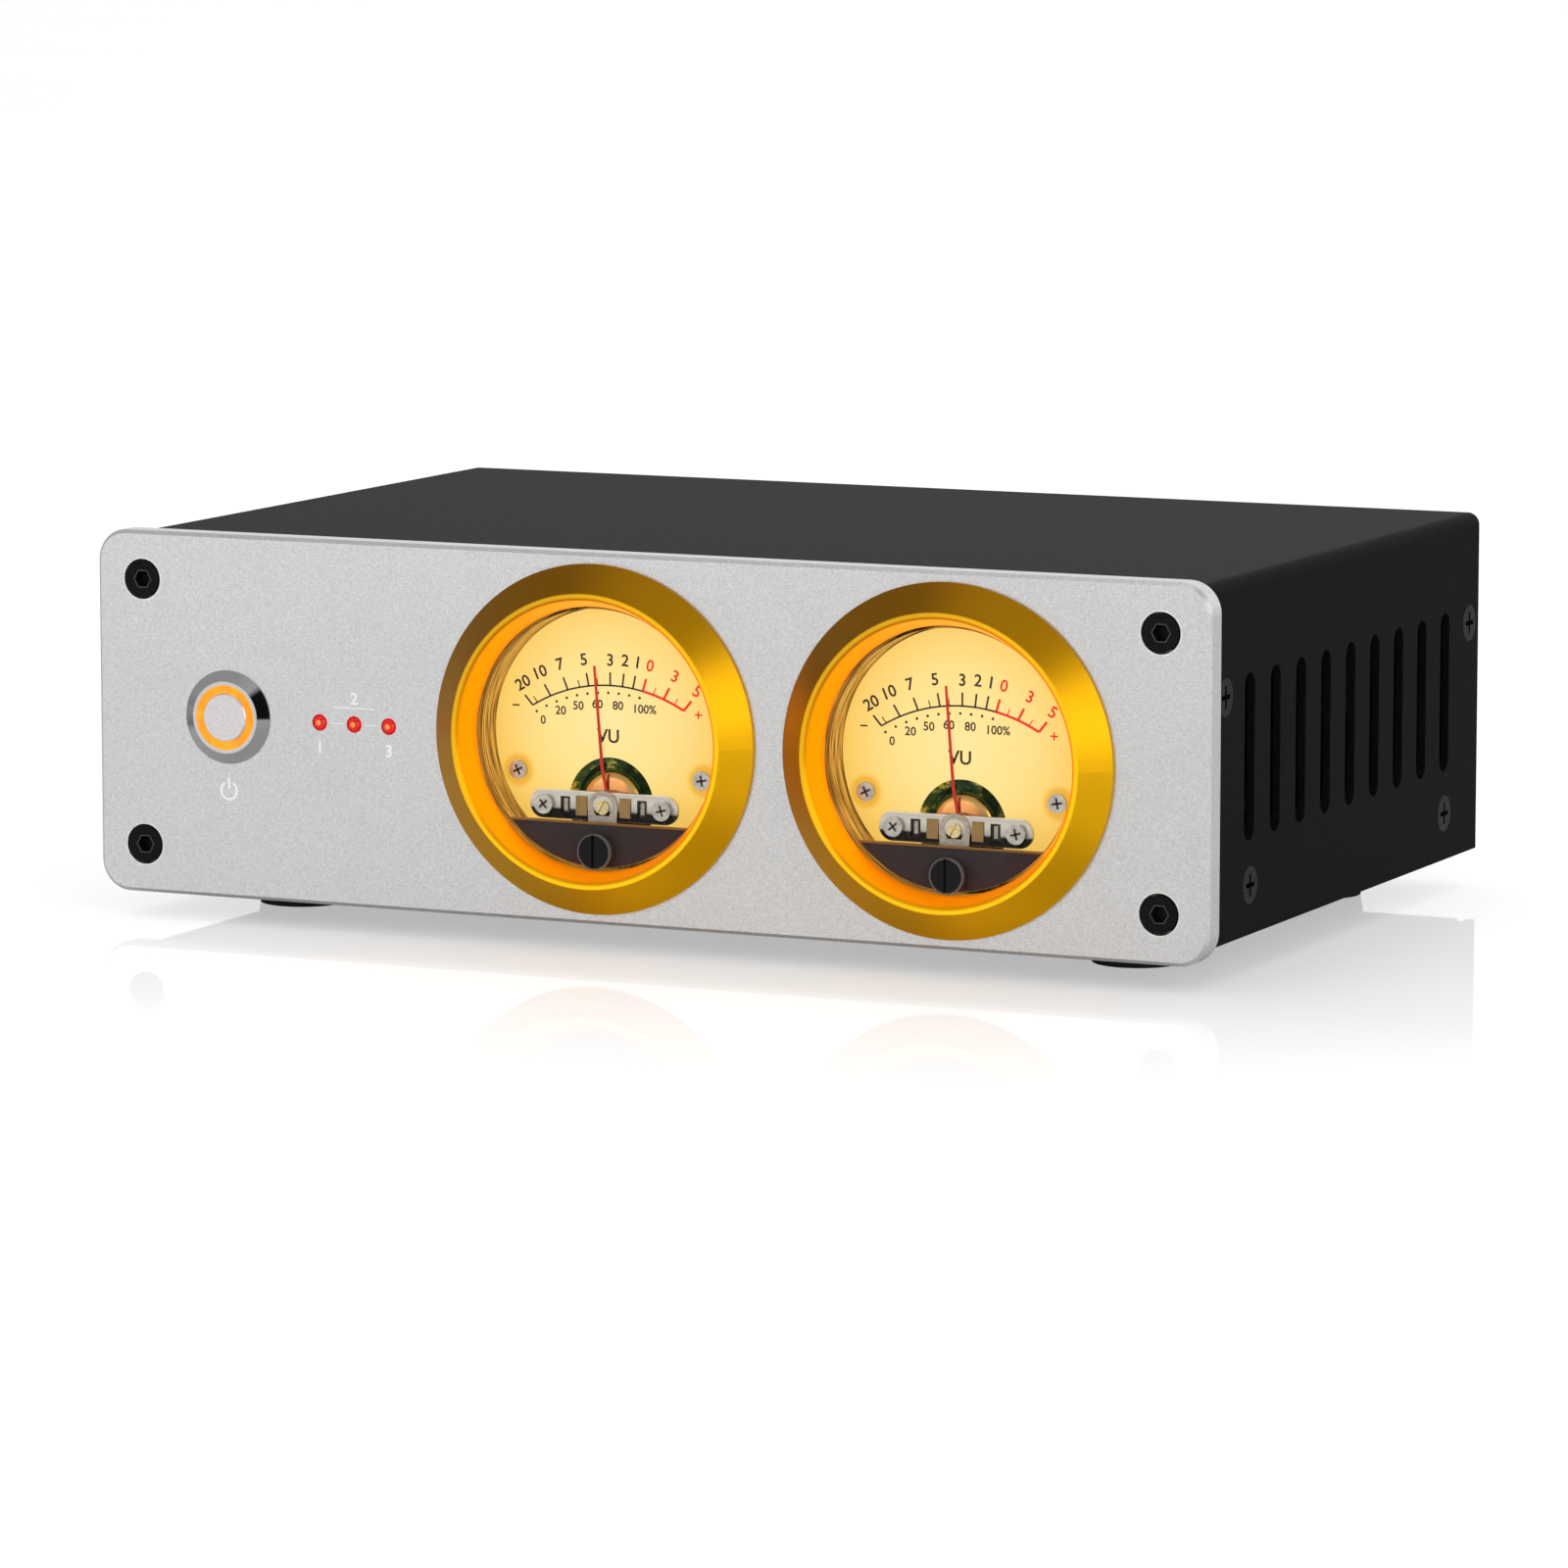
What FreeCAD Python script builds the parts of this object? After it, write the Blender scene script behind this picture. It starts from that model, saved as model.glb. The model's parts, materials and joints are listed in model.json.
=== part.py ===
import FreeCAD, Part
import math
import os

# A desktop stereo level meter: two round moving-coil meters and a lit push-button in a thick
# aluminium front, on a folded steel case with rubber feet. Millimetres. X runs to the right as
# seen from the front, Y to the back and Z up. The origin is on the table, under the middle.

os.makedirs("parts", exist_ok=True)

Vector = FreeCAD.Vector
BACKWARD = Vector(0, 1, 0)
UPWARD = Vector(0, 0, 1)
SIDES = (-1, 1)

# Largest angle in degrees between an edge and an axis that it counts as lying along
EDGE_ANGLE_SPREAD = 25.0

# Front panel
PANEL_WIDTH = 230.0
PANEL_HEIGHT = 70.0
PANEL_THICKNESS = 5.0
PANEL_CORNER_RADIUS = 6.0
PANEL_EDGE_CHAMFER = 0.7
PANEL_SCREW_FROM_SIDE = 9.75
PANEL_SCREW_FROM_EDGE = 9.35
PANEL_SCREW_RADIUS = 2.0
PANEL_SCREW_LENGTH = 10.0
SCREW_HEAD_RADIUS = 3.5
SCREW_HEAD_HEIGHT = 4.0
SCREW_HEAD_CLEARANCE = 0.4
SCREW_HEAD_SUNK = 0.1
HEX_KEY_WIDTH = 3.0
HEX_KEY_DEPTH = 2.0
HOLE_CLEARANCE = 0.1

# Folded steel case
CASE_INSIDE_PANEL = 3.0
CASE_LENGTH = 144.5
CASE_BELOW_PANEL_TOP = 1.1
CASE_ABOVE_PANEL_BOTTOM = 2.2
COVER_SHEET = 1.5
COVER_BEND_RADIUS = 2.4
CHASSIS_SHEET = 1.2
CHASSIS_FLANGE_HEIGHT = 20.0
CHASSIS_BEND_RADIUS = 2.0
SHEET_FIT = 0.1
SUBPANEL_SHEET = 1.5
REAR_SHEET = 1.5
SIDE_TAB_LENGTH = 14.0
SIDE_TAB_BOTTOM = 46.0
SIDE_TAB_TOP = 66.0

# Vent slots in each side
VENT_COUNT = 9
VENT_PITCH = 12.95
VENT_WIDTH = 5.0
VENT_LENGTH = 31.1
VENT_LOWEST = 24.8
VENT_FIRST_FROM_PANEL = 21.9

# Screws in the sides of the cover
SIDE_SCREW_RADIUS = 1.95
SIDE_SCREW_HEAD_RADIUS = 3.6
SIDE_SCREW_LENGTH = 7.0
SIDE_NUT_RADIUS = 3.2
SIDE_NUT_LENGTH = 2.0
PANEL_NUT_RADIUS = 3.3
PANEL_NUT_LENGTH = 4.0
UPPER_SCREW_Z = 52.6
LOWER_SCREW_Z = 16.4
UPPER_FRONT_SCREW_FROM_PANEL = 10.0
LOWER_FRONT_SCREW_FROM_PANEL = 22.8
UPPER_REAR_SCREW_FROM_BACK = 5.1
LOWER_REAR_SCREW_FROM_BACK = 18.3
CROSS_RECESS_LENGTH = 4.2
CROSS_RECESS_WIDTH = 0.9
CROSS_RECESS_DEPTH = 1.4

# Rubber feet
FOOT_HEIGHT = 7.2
FOOT_TOP_RADIUS = 9.5
FOOT_BOTTOM_RADIUS = 8.5
FOOT_FROM_SIDE = 24.0
FOOT_FRONT_FROM_PANEL = 27.0
FOOT_REAR_FROM_BACK = 24.5
FOOT_RECESS_RADIUS = 4.0
FOOT_RECESS_DEPTH = 3.4
FOOT_SCREW_RADIUS = 1.5
FOOT_SCREW_HEAD_RADIUS = 2.9
FOOT_SCREW_HEAD_HEIGHT = 1.8
FOOT_NUT_RADIUS = 3.1
FOOT_NUT_HEIGHT = 2.4

# Meter bezel and window
METER_LEFT_X = -8.6
METER_RIGHT_X = 63.4
BEZEL_RADIUS = 33.0
BEZEL_RIM_HEIGHT = 0.7
BEZEL_PROUD = 4.7
BEZEL_RIDGE_RADIUS = 27.4
BEZEL_RIDGE_HALF_WIDTH = 0.9
BEZEL_RIDGE_DROP = 0.4
BEZEL_RIDGE_FLAT = 0.7
BEZEL_LIP_RADIUS = 24.95
BEZEL_LIP_DEPTH = 0.3
BEZEL_SPIGOT_WALL = 1.1
WINDOW_RADIUS = 25.4
WINDOW_THICKNESS = 1.2
WINDOW_WALL = 1.0
WINDOW_CUP_LENGTH = 8.2
MASK_THICKNESS = 0.8
MASK_TOP_BELOW_CENTRE = 15.9
OPTICAL_FIT = 0.1

# Meter housing and dial
HOUSING_WALL = 1.5
HOUSING_LENGTH = 20.5
HOUSING_FLOOR = 2.0
HOUSING_FLANGE_WIDTH = 3.9
HOUSING_FLANGE_THICKNESS = 4.0
HOUSING_SCREW_COUNT = 3
HOUSING_SCREW_RADIUS = 0.9
HOUSING_SCREW_HEAD_RADIUS = 1.7
HOUSING_SCREW_HEAD_HEIGHT = 1.2
HOUSING_SCREW_FIRST_ANGLE = 90.0
DIAL_RADIUS = 24.1
DIAL_THICKNESS = 0.5
DIAL_DEPTH = 6.8
DIAL_CUTOUT_RADIUS = 9.0
DIAL_BOTTOM_BELOW_CENTRE = 17.6
DIAL_SCREW_X = 19.2
DIAL_SCREW_BELOW_CENTRE = 7.5
DIAL_SCREW_RADIUS = 0.9
DIAL_SCREW_HEAD_RADIUS = 1.8
DIAL_SCREW_HEAD_HEIGHT = 0.7
DIAL_SCREW_LENGTH = 4.0
POST_RADIUS = 1.9

# Moving-coil movement
PIVOT_BELOW_CENTRE = 13.2
BRIDGE_HALF_LENGTH = 15.4
BRIDGE_HEIGHT = 5.5
BRIDGE_DEPTH = 3.8
BRIDGE_THICKNESS = 0.8
BRIDGE_BOSS_RADIUS = 3.1
BRIDGE_BOSS_RISE = 0.4
BRIDGE_TAB_HALF_WIDTH = 2.9
BRIDGE_TAB_DROP = 3.4
BRIDGE_SCREW_X = 12.3
BRIDGE_SCREW_RADIUS = 0.9
BRIDGE_SCREW_HEAD_RADIUS = 1.9
BRIDGE_SCREW_HEAD_HEIGHT = 0.8
BRIDGE_SCREW_LENGTH = 4.0
BRIDGE_SLOT_X = 8.0
BRIDGE_SLOT_WIDTH = 2.0
BRIDGE_SLOT_HEIGHT = 3.2
JEWEL_SCREW_RADIUS = 1.4
JEWEL_SCREW_PROUD = 0.4
JEWEL_SLOT_WIDTH = 0.45
JEWEL_SLOT_DEPTH = 0.35
JEWEL_SLOT_TURN = -60.0
JEWEL_BUSH_LENGTH = 0.45
JEWEL_CUP_DEPTH = 0.5
PIVOT_RADIUS = 0.35
PIVOT_CLEARANCE = 0.07
PIVOT_END_GAP = 0.1
YOKE_OUTER_RADIUS = 10.0
YOKE_INNER_RADIUS = 8.0
YOKE_DEPTH = 9.2
YOKE_LENGTH = 11.0
CORE_RADIUS = 5.2
CORE_LENGTH = 9.0
CORE_WEB_HALF_WIDTH = 2.4
COIL_GAP = 0.6
COIL_SIDE = 1.4
COIL_END = 1.2
COIL_THICKNESS = 2.2
COIL_CORNER_RADIUS = 0.9
COIL_CAP_RADIUS = 6.6
COIL_CAP_THICKNESS = 0.6
FRAME_PLATE_RADIUS = 23.5
FRAME_PLATE_THICKNESS = 2.5
POINTER_LENGTH = 26.4
POINTER_REST_ANGLE = -4.7
POINTER_THICKNESS = 0.3
POINTER_BASE_WIDTH = 1.1
POINTER_TIP_WIDTH = 0.4
POINTER_HUB_RADIUS = 1.6
POINTER_HUB_LENGTH = 0.6
POINTER_BEHIND_BRIDGE = 1.4
POINTER_BEND_ABOVE_PIVOT = 6.4
POINTER_OFFSET = 0.85
COUNTERWEIGHT_ARM = 4.6
COUNTERWEIGHT_RADIUS = 0.8
COUNTERWEIGHT_TURNS = (90.0, 180.0, 270.0)
HAIRSPRING_TURNS = 3
HAIRSPRING_PITCH = 0.62
HAIRSPRING_STRIP = 0.14
HAIRSPRING_HEIGHT = 0.3
HAIRSPRING_COLLET_RADIUS = 0.9

# Zero adjustment
ZERO_SCREW_BELOW_CENTRE = 21.2
ZERO_HEAD_RADIUS = 3.4
ZERO_HEAD_PROUD = 0.7
ZERO_HEAD_GAP = 0.1
ZERO_SLOT_WIDTH = 0.9
ZERO_SLOT_DEPTH = 0.45
ZERO_STEM_RADIUS = 2.0
ZERO_STEM_CLEARANCE = 0.06
ZERO_COLLAR_RADIUS = 2.7
ZERO_COLLAR_THICKNESS = 0.7
ZERO_PIN_RADIUS = 0.5
ZERO_PIN_OFFSET = 1.4
ZERO_PIN_CLEARANCE = 0.08
ZERO_ARM_THICKNESS = 0.3
ZERO_ARM_GAP = 0.08
ZERO_ARM_RING_RADIUS = 2.5
ZERO_ARM_HALF_WIDTH = 0.8
ZERO_FORK_HALF_WIDTH = 1.3
ZERO_FORK_END = 1.1

# Lamp board behind each meter
LAMP_BOARD_RADIUS = 20.0
LAMP_BOARD_THICKNESS = 1.6
LAMP_RADIUS = 1.5
LAMP_X = 14.0
LAMP_ABOVE_CENTRE = 12.0
LAMP_LENGTH = 8.0

# Lit push-button
SWITCH_X = -86.7
SWITCH_HEAD_RADIUS = 9.0
SWITCH_RIM_RADIUS = 6.95
SWITCH_BORE_RADIUS = 6.25
SWITCH_PROUD = 1.4
SWITCH_EDGE_HEIGHT = 0.3
SWITCH_THREAD_RADIUS = 7.9
SWITCH_BODY_LENGTH = 26.0
SWITCH_BORE_DEPTH = 12.0
SWITCH_CAP_RADIUS = 4.65
SWITCH_CAP_PROUD = 0.25
SWITCH_CAP_LENGTH = 8.0
SWITCH_CAP_EDGE = 0.25
SWITCH_RUNNING_CLEARANCE = 0.1
SWITCH_TERMINAL_SPACING = 6.0
SWITCH_TERMINAL_RADIUS = 0.7
SWITCH_TERMINAL_LENGTH = 4.0
SWITCH_NUT_WIDTH = 19.0
SWITCH_NUT_THICKNESS = 2.5

# Indicator lights
INDICATOR_X = (-66.9, -59.5, -52.1)
INDICATOR_RADIUS = 1.5
INDICATOR_PROUD = 0.6
INDICATOR_FLANGE_RADIUS = 1.9
INDICATOR_FLANGE_LENGTH = 1.0
INDICATOR_LEG_RADIUS = 0.8
INDICATOR_BOARD_FROM_PANEL = 7.0
INDICATOR_BOARD_WIDTH = 26.0
INDICATOR_BOARD_HEIGHT = 13.0
INDICATOR_SPACER_FROM_MIDDLE = 4.6
INDICATOR_SPACER_RADIUS = 1.6

# Circuit boards
BOARD_THICKNESS = 1.6
BOARD_WIDTH = 140.0
BOARD_DEPTH = 62.0
BOARD_FROM_BACK = 9.0
BOARD_STANDOFF_RADIUS = 2.5
BOARD_STANDOFF_HEIGHT = 6.0
BOARD_STANDOFF_INSET = 5.0
CAPACITOR_RADIUS = 5.0
CAPACITOR_HEIGHT = 16.0
CAPACITOR_PITCH = 13.0
CHIP_LENGTH = 19.0
CHIP_WIDTH = 6.4
CHIP_HEIGHT = 3.6
CHIP_PITCH = 34.0

# Sockets in the rear panel
SOCKET_Z = 40.0
RCA_FROM_SIDE = (34.0, 52.0, 82.0, 100.0)
RCA_PROUD = 9.5
RCA_SHELL_RADIUS = 4.15
RCA_INSERT_RADIUS = 3.3
RCA_BORE_RADIUS = 1.6
RCA_BORE_DEPTH = 9.0
RCA_FLANGE_RADIUS = 6.0
RCA_FLANGE_THICKNESS = 1.5
RCA_THREAD_RADIUS = 3.9
RCA_INNER_LENGTH = 7.0
RCA_NUT_WIDTH = 11.0
RCA_NUT_THICKNESS = 2.2
DC_FROM_SIDE = 30.0
DC_FLANGE_RADIUS = 6.5
DC_FLANGE_THICKNESS = 2.0
DC_THREAD_RADIUS = 5.4
DC_BODY_LENGTH = 12.0
DC_BORE_RADIUS = 2.9
DC_BORE_DEPTH = 9.5
DC_PIN_RADIUS = 1.05
DC_PIN_BELOW_MOUTH = 1.0
DC_NUT_WIDTH = 14.0
DC_NUT_THICKNESS = 2.5

# Places along X that follow the panel's width
CASE_WIDTH = PANEL_WIDTH - 2 * CASE_INSIDE_PANEL
PANEL_SCREW_X = PANEL_WIDTH / 2 - PANEL_SCREW_FROM_SIDE
PANEL_SCREW_RISE = PANEL_HEIGHT / 2 - PANEL_SCREW_FROM_EDGE
FOOT_X = CASE_WIDTH / 2 - FOOT_FROM_SIDE
RCA_X = [distance - CASE_WIDTH / 2 for distance in RCA_FROM_SIDE]
DC_X = CASE_WIDTH / 2 - DC_FROM_SIDE

# Places along Z
CASE_BOTTOM_Z = FOOT_HEIGHT
PANEL_BOTTOM_Z = CASE_BOTTOM_Z - CASE_ABOVE_PANEL_BOTTOM
PANEL_TOP_Z = PANEL_BOTTOM_Z + PANEL_HEIGHT
PANEL_MIDDLE_Z = PANEL_BOTTOM_Z + PANEL_HEIGHT / 2
CASE_TOP_Z = PANEL_TOP_Z - CASE_BELOW_PANEL_TOP
FLOOR_TOP_Z = CASE_BOTTOM_Z + CHASSIS_SHEET
CEILING_Z = CASE_TOP_Z - COVER_SHEET
PIVOT_Z = PANEL_MIDDLE_Z - PIVOT_BELOW_CENTRE
ZERO_SCREW_Z = PANEL_MIDDLE_Z - ZERO_SCREW_BELOW_CENTRE

# Places along Y: the front-most ridge of the bezels and the sockets' mouths are equally far out
TOTAL_DEPTH = BEZEL_PROUD + PANEL_THICKNESS + CASE_LENGTH + RCA_PROUD
FACE_Y = BEZEL_PROUD - TOTAL_DEPTH / 2
PANEL_BACK_Y = FACE_Y + PANEL_THICKNESS
SUBPANEL_BACK_Y = PANEL_BACK_Y + SUBPANEL_SHEET
CASE_BACK_Y = PANEL_BACK_Y + CASE_LENGTH
CASE_MIDDLE_Y = (PANEL_BACK_Y + CASE_BACK_Y) / 2
HOUSING_FLANGE_BACK_Y = SUBPANEL_BACK_Y + HOUSING_FLANGE_THICKNESS
REAR_FRONT_Y = CASE_BACK_Y - REAR_SHEET
WINDOW_FRONT_Y = FACE_Y + BEZEL_LIP_DEPTH
WINDOW_BACK_Y = WINDOW_FRONT_Y + WINDOW_THICKNESS
MASK_BACK_Y = WINDOW_BACK_Y + MASK_THICKNESS
CUP_END_Y = WINDOW_FRONT_Y + WINDOW_CUP_LENGTH
HOUSING_END_Y = CUP_END_Y + HOUSING_LENGTH
HOUSING_FLOOR_Y = HOUSING_END_Y - HOUSING_FLOOR
FRAME_FRONT_Y = HOUSING_FLOOR_Y - FRAME_PLATE_THICKNESS
DIAL_FRONT_Y = FACE_Y + DIAL_DEPTH
DIAL_BACK_Y = DIAL_FRONT_Y + DIAL_THICKNESS
BRIDGE_FRONT_Y = FACE_Y + BRIDGE_DEPTH
BRIDGE_BACK_Y = BRIDGE_FRONT_Y + BRIDGE_THICKNESS
JEWEL_BACK_Y = BRIDGE_BACK_Y + JEWEL_BUSH_LENGTH
POINTER_FRONT_Y = BRIDGE_BACK_Y + POINTER_BEHIND_BRIDGE
POINTER_BACK_Y = POINTER_FRONT_Y + POINTER_THICKNESS
HUB_FRONT_Y = POINTER_BACK_Y - POINTER_HUB_LENGTH
YOKE_FRONT_Y = FACE_Y + YOKE_DEPTH
YOKE_BACK_Y = YOKE_FRONT_Y + YOKE_LENGTH
CORE_FRONT_Y = YOKE_FRONT_Y + (YOKE_LENGTH - CORE_LENGTH) / 2
CORE_BACK_Y = CORE_FRONT_Y + CORE_LENGTH
COIL_FRONT_Y = CORE_FRONT_Y - COIL_GAP - COIL_END
COIL_BACK_Y = CORE_BACK_Y + COIL_GAP + COIL_END
REAR_JEWEL_Y = FRAME_FRONT_Y - JEWEL_BUSH_LENGTH
ZERO_ARM_FRONT_Y = BRIDGE_BACK_Y + ZERO_ARM_GAP
ZERO_ARM_BACK_Y = ZERO_ARM_FRONT_Y + ZERO_ARM_THICKNESS
ZERO_COLLAR_Y = MASK_BACK_Y + ZERO_HEAD_GAP

# Radii of the bezel's bore, the panel's holes for it and the housing's inside
BEZEL_BORE_RADIUS = WINDOW_RADIUS + OPTICAL_FIT
BEZEL_SPIGOT_RADIUS = BEZEL_BORE_RADIUS + BEZEL_SPIGOT_WALL
METER_HOLE_RADIUS = BEZEL_SPIGOT_RADIUS + HOLE_CLEARANCE
HOUSING_INSIDE_RADIUS = WINDOW_RADIUS - HOUSING_WALL
HOUSING_FLANGE_RADIUS = METER_HOLE_RADIUS + HOUSING_FLANGE_WIDTH
HOUSING_SCREW_CIRCLE = METER_HOLE_RADIUS + HOUSING_FLANGE_WIDTH / 2

METERS = {"left": METER_LEFT_X, "right": METER_RIGHT_X}


def block(x_low, x_high, y_low, y_high, z_low, z_high):
    corner = Vector(x_low, y_low, z_low)
    return Part.makeBox(x_high - x_low, y_high - y_low, z_high - z_low, corner)


def rod(radius, y_front, y_back, x=0.0, z=0.0):
    return Part.makeCylinder(radius, y_back - y_front, Vector(x, y_front, z), BACKWARD)


def tube(outer, inner, y_front, y_back, x=0.0, z=0.0):
    return rod(outer, y_front, y_back, x, z).cut(rod(inner, y_front, y_back, x, z))


def side_rod(radius, x_near, x_far, side, y, z):
    """Rod along X between two distances from the middle, on one side of the case."""
    return Part.makeCylinder(radius, x_far - x_near, Vector(side * x_near, y, z), Vector(side, 0, 0))


def plate(outline, y_front, y_back):
    """Flat piece with an outline of X and Z points, between two planes along Y."""
    points = [Vector(x, y_front, z) for x, z in outline]
    face = Part.Face(Part.makePolygon(points + points[:1]))
    return face.extrude(Vector(0, y_back - y_front, 0))


def lies_along(edge, axis):
    direction = edge.tangentAt(edge.FirstParameter)
    return abs(direction.dot(axis)) > math.cos(math.radians(EDGE_ANGLE_SPREAD))


def turned(edges, x, z):
    """Solid turned about the axis along Y through x and z from edges in the XY plane."""
    face = Part.Face(Part.Wire(edges))
    solid = face.revolve(Vector(0, 0, 0), BACKWARD, 360)
    solid.translate(Vector(x, 0, z))
    return solid


def straight_edges(points):
    corners = [Vector(radius, y, 0) for radius, y in points]
    return [Part.makeLine(a, b) for a, b in zip(corners, corners[1:])]


def hexagon(width, y_front, y_back, x, z):
    corner = width / math.sqrt(3)
    angles = [math.radians(60 * i) for i in range(6)]
    return plate([(x + corner * math.cos(a), z + corner * math.sin(a)) for a in angles], y_front, y_back)


def upright_slot(width, length, x_near, x_far, side, y, z_low):
    """Round-ended slot cutter that runs up the side of the case."""
    radius = width / 2
    x_low, x_high = sorted((side * x_near, side * x_far))
    middle = block(x_low, x_high, y - radius, y + radius, z_low + radius, z_low + length - radius)
    ends = [side_rod(radius, x_near, x_far, side, y, z) for z in (z_low + radius, z_low + length - radius)]
    return middle.fuse(ends).removeSplitter()


def turn_about_pivot(shape, degrees, x, z):
    """Turn clockwise as seen from the front, about the axis along Y through x and z."""
    shape.rotate(Vector(x, 0, z), BACKWARD, degrees)
    return shape


def panel_screw_places():
    return [(sx * PANEL_SCREW_X, PANEL_MIDDLE_Z + sz * PANEL_SCREW_RISE) for sx in SIDES for sz in SIDES]


def upper_side_screw_ys():
    return (PANEL_BACK_Y + UPPER_FRONT_SCREW_FROM_PANEL, CASE_BACK_Y - UPPER_REAR_SCREW_FROM_BACK)


def lower_side_screw_ys():
    return (PANEL_BACK_Y + LOWER_FRONT_SCREW_FROM_PANEL, CASE_BACK_Y - LOWER_REAR_SCREW_FROM_BACK)


def side_screw_places():
    upper = [(side, y, UPPER_SCREW_Z) for side in SIDES for y in upper_side_screw_ys()]
    lower = [(side, y, LOWER_SCREW_Z) for side in SIDES for y in lower_side_screw_ys()]
    return upper + lower


def foot_places():
    front = PANEL_BACK_Y + FOOT_FRONT_FROM_PANEL
    rear = CASE_BACK_Y - FOOT_REAR_FROM_BACK
    return [(side * FOOT_X, y) for side in SIDES for y in (front, rear)]


def housing_screw_places(meter_x):
    step = 360 / HOUSING_SCREW_COUNT
    angles = [math.radians(HOUSING_SCREW_FIRST_ANGLE + step * i) for i in range(HOUSING_SCREW_COUNT)]
    circle = HOUSING_SCREW_CIRCLE
    return [(meter_x + circle * math.cos(a), PANEL_MIDDLE_Z + circle * math.sin(a)) for a in angles]


def dial_screw_places(meter_x):
    z = PANEL_MIDDLE_Z - DIAL_SCREW_BELOW_CENTRE
    return [(meter_x + side * DIAL_SCREW_X, z) for side in SIDES]


def bridge_screw_places(meter_x):
    return [(meter_x + side * BRIDGE_SCREW_X, PIVOT_Z) for side in SIDES]


def lamp_places(meter_x):
    z = PANEL_MIDDLE_Z + LAMP_ABOVE_CENTRE
    return [(meter_x + side * LAMP_X, z) for side in SIDES]


def front_panel():
    half = PANEL_WIDTH / 2
    panel = block(-half, half, FACE_Y, PANEL_BACK_Y, PANEL_BOTTOM_Z, PANEL_TOP_Z)
    corners = [e for e in panel.Edges if lies_along(e, BACKWARD)]
    panel = panel.makeFillet(PANEL_CORNER_RADIUS, corners)
    rim = [e for e in panel.Edges if e.BoundBox.YMax < FACE_Y + PANEL_EDGE_CHAMFER / 2]
    panel = panel.makeChamfer(PANEL_EDGE_CHAMFER, rim)
    holes = [rod(METER_HOLE_RADIUS, FACE_Y, PANEL_BACK_Y, x, PANEL_MIDDLE_Z) for x in METERS.values()]
    thread_hole = SWITCH_THREAD_RADIUS + HOLE_CLEARANCE
    holes.append(rod(thread_hole, FACE_Y, PANEL_BACK_Y, SWITCH_X, PANEL_MIDDLE_Z))
    light_hole = INDICATOR_RADIUS + HOLE_CLEARANCE
    holes += [rod(light_hole, FACE_Y, PANEL_BACK_Y, x, PANEL_MIDDLE_Z) for x in INDICATOR_X]
    sink = FACE_Y + SCREW_HEAD_SUNK + SCREW_HEAD_HEIGHT
    for x, z in panel_screw_places():
        holes.append(rod(SCREW_HEAD_RADIUS + SCREW_HEAD_CLEARANCE, FACE_Y, sink, x, z))
        holes.append(rod(PANEL_SCREW_RADIUS + HOLE_CLEARANCE, FACE_Y, PANEL_BACK_Y, x, z))
    return panel.cut(holes)


def front_panel_screws():
    head_front = FACE_Y + SCREW_HEAD_SUNK
    head_back = head_front + SCREW_HEAD_HEIGHT
    screws = []
    for x, z in panel_screw_places():
        head = rod(SCREW_HEAD_RADIUS, head_front, head_back, x, z)
        shank = rod(PANEL_SCREW_RADIUS, head_back, head_back + PANEL_SCREW_LENGTH, x, z)
        socket = hexagon(HEX_KEY_WIDTH, head_front, head_front + HEX_KEY_DEPTH, x, z)
        screws.append(head.fuse(shank).cut(socket))
    return Part.makeCompound(screws)


def front_panel_nuts():
    """Clinch nuts pressed into the sub-panel from behind."""
    back = SUBPANEL_BACK_Y + PANEL_NUT_LENGTH
    bore = PANEL_SCREW_RADIUS + HOLE_CLEARANCE
    return Part.makeCompound([tube(PANEL_NUT_RADIUS, bore, SUBPANEL_BACK_Y, back, x, z)
                              for x, z in panel_screw_places()])


def side_tabs(y_low, y_high, sheet, screw_y):
    """Tabs folded back along both sides of a panel, with holes for the cover's upper screws."""
    outer = CASE_WIDTH / 2 - COVER_SHEET - SHEET_FIT
    tabs = []
    for side in SIDES:
        x_low, x_high = sorted((side * outer, side * (outer - sheet)))
        tab = block(x_low, x_high, y_low, y_high, SIDE_TAB_BOTTOM, SIDE_TAB_TOP)
        hole = SIDE_SCREW_RADIUS + HOLE_CLEARANCE
        tabs.append(tab.cut(side_rod(hole, outer - sheet, outer, side, screw_y, UPPER_SCREW_Z)))
    return tabs


def inner_plate(y_front, y_back):
    """Flat web that fills the case's inside, with its top corners clear of the cover's bends."""
    half = CASE_WIDTH / 2 - COVER_SHEET - SHEET_FIT
    web = block(-half, half, y_front, y_back, FLOOR_TOP_Z, CEILING_Z - SHEET_FIT)
    corners = [e for e in web.Edges if lies_along(e, BACKWARD)
               and e.BoundBox.ZMin > PANEL_MIDDLE_Z]
    return web.makeFillet(COVER_BEND_RADIUS, corners)


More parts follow.
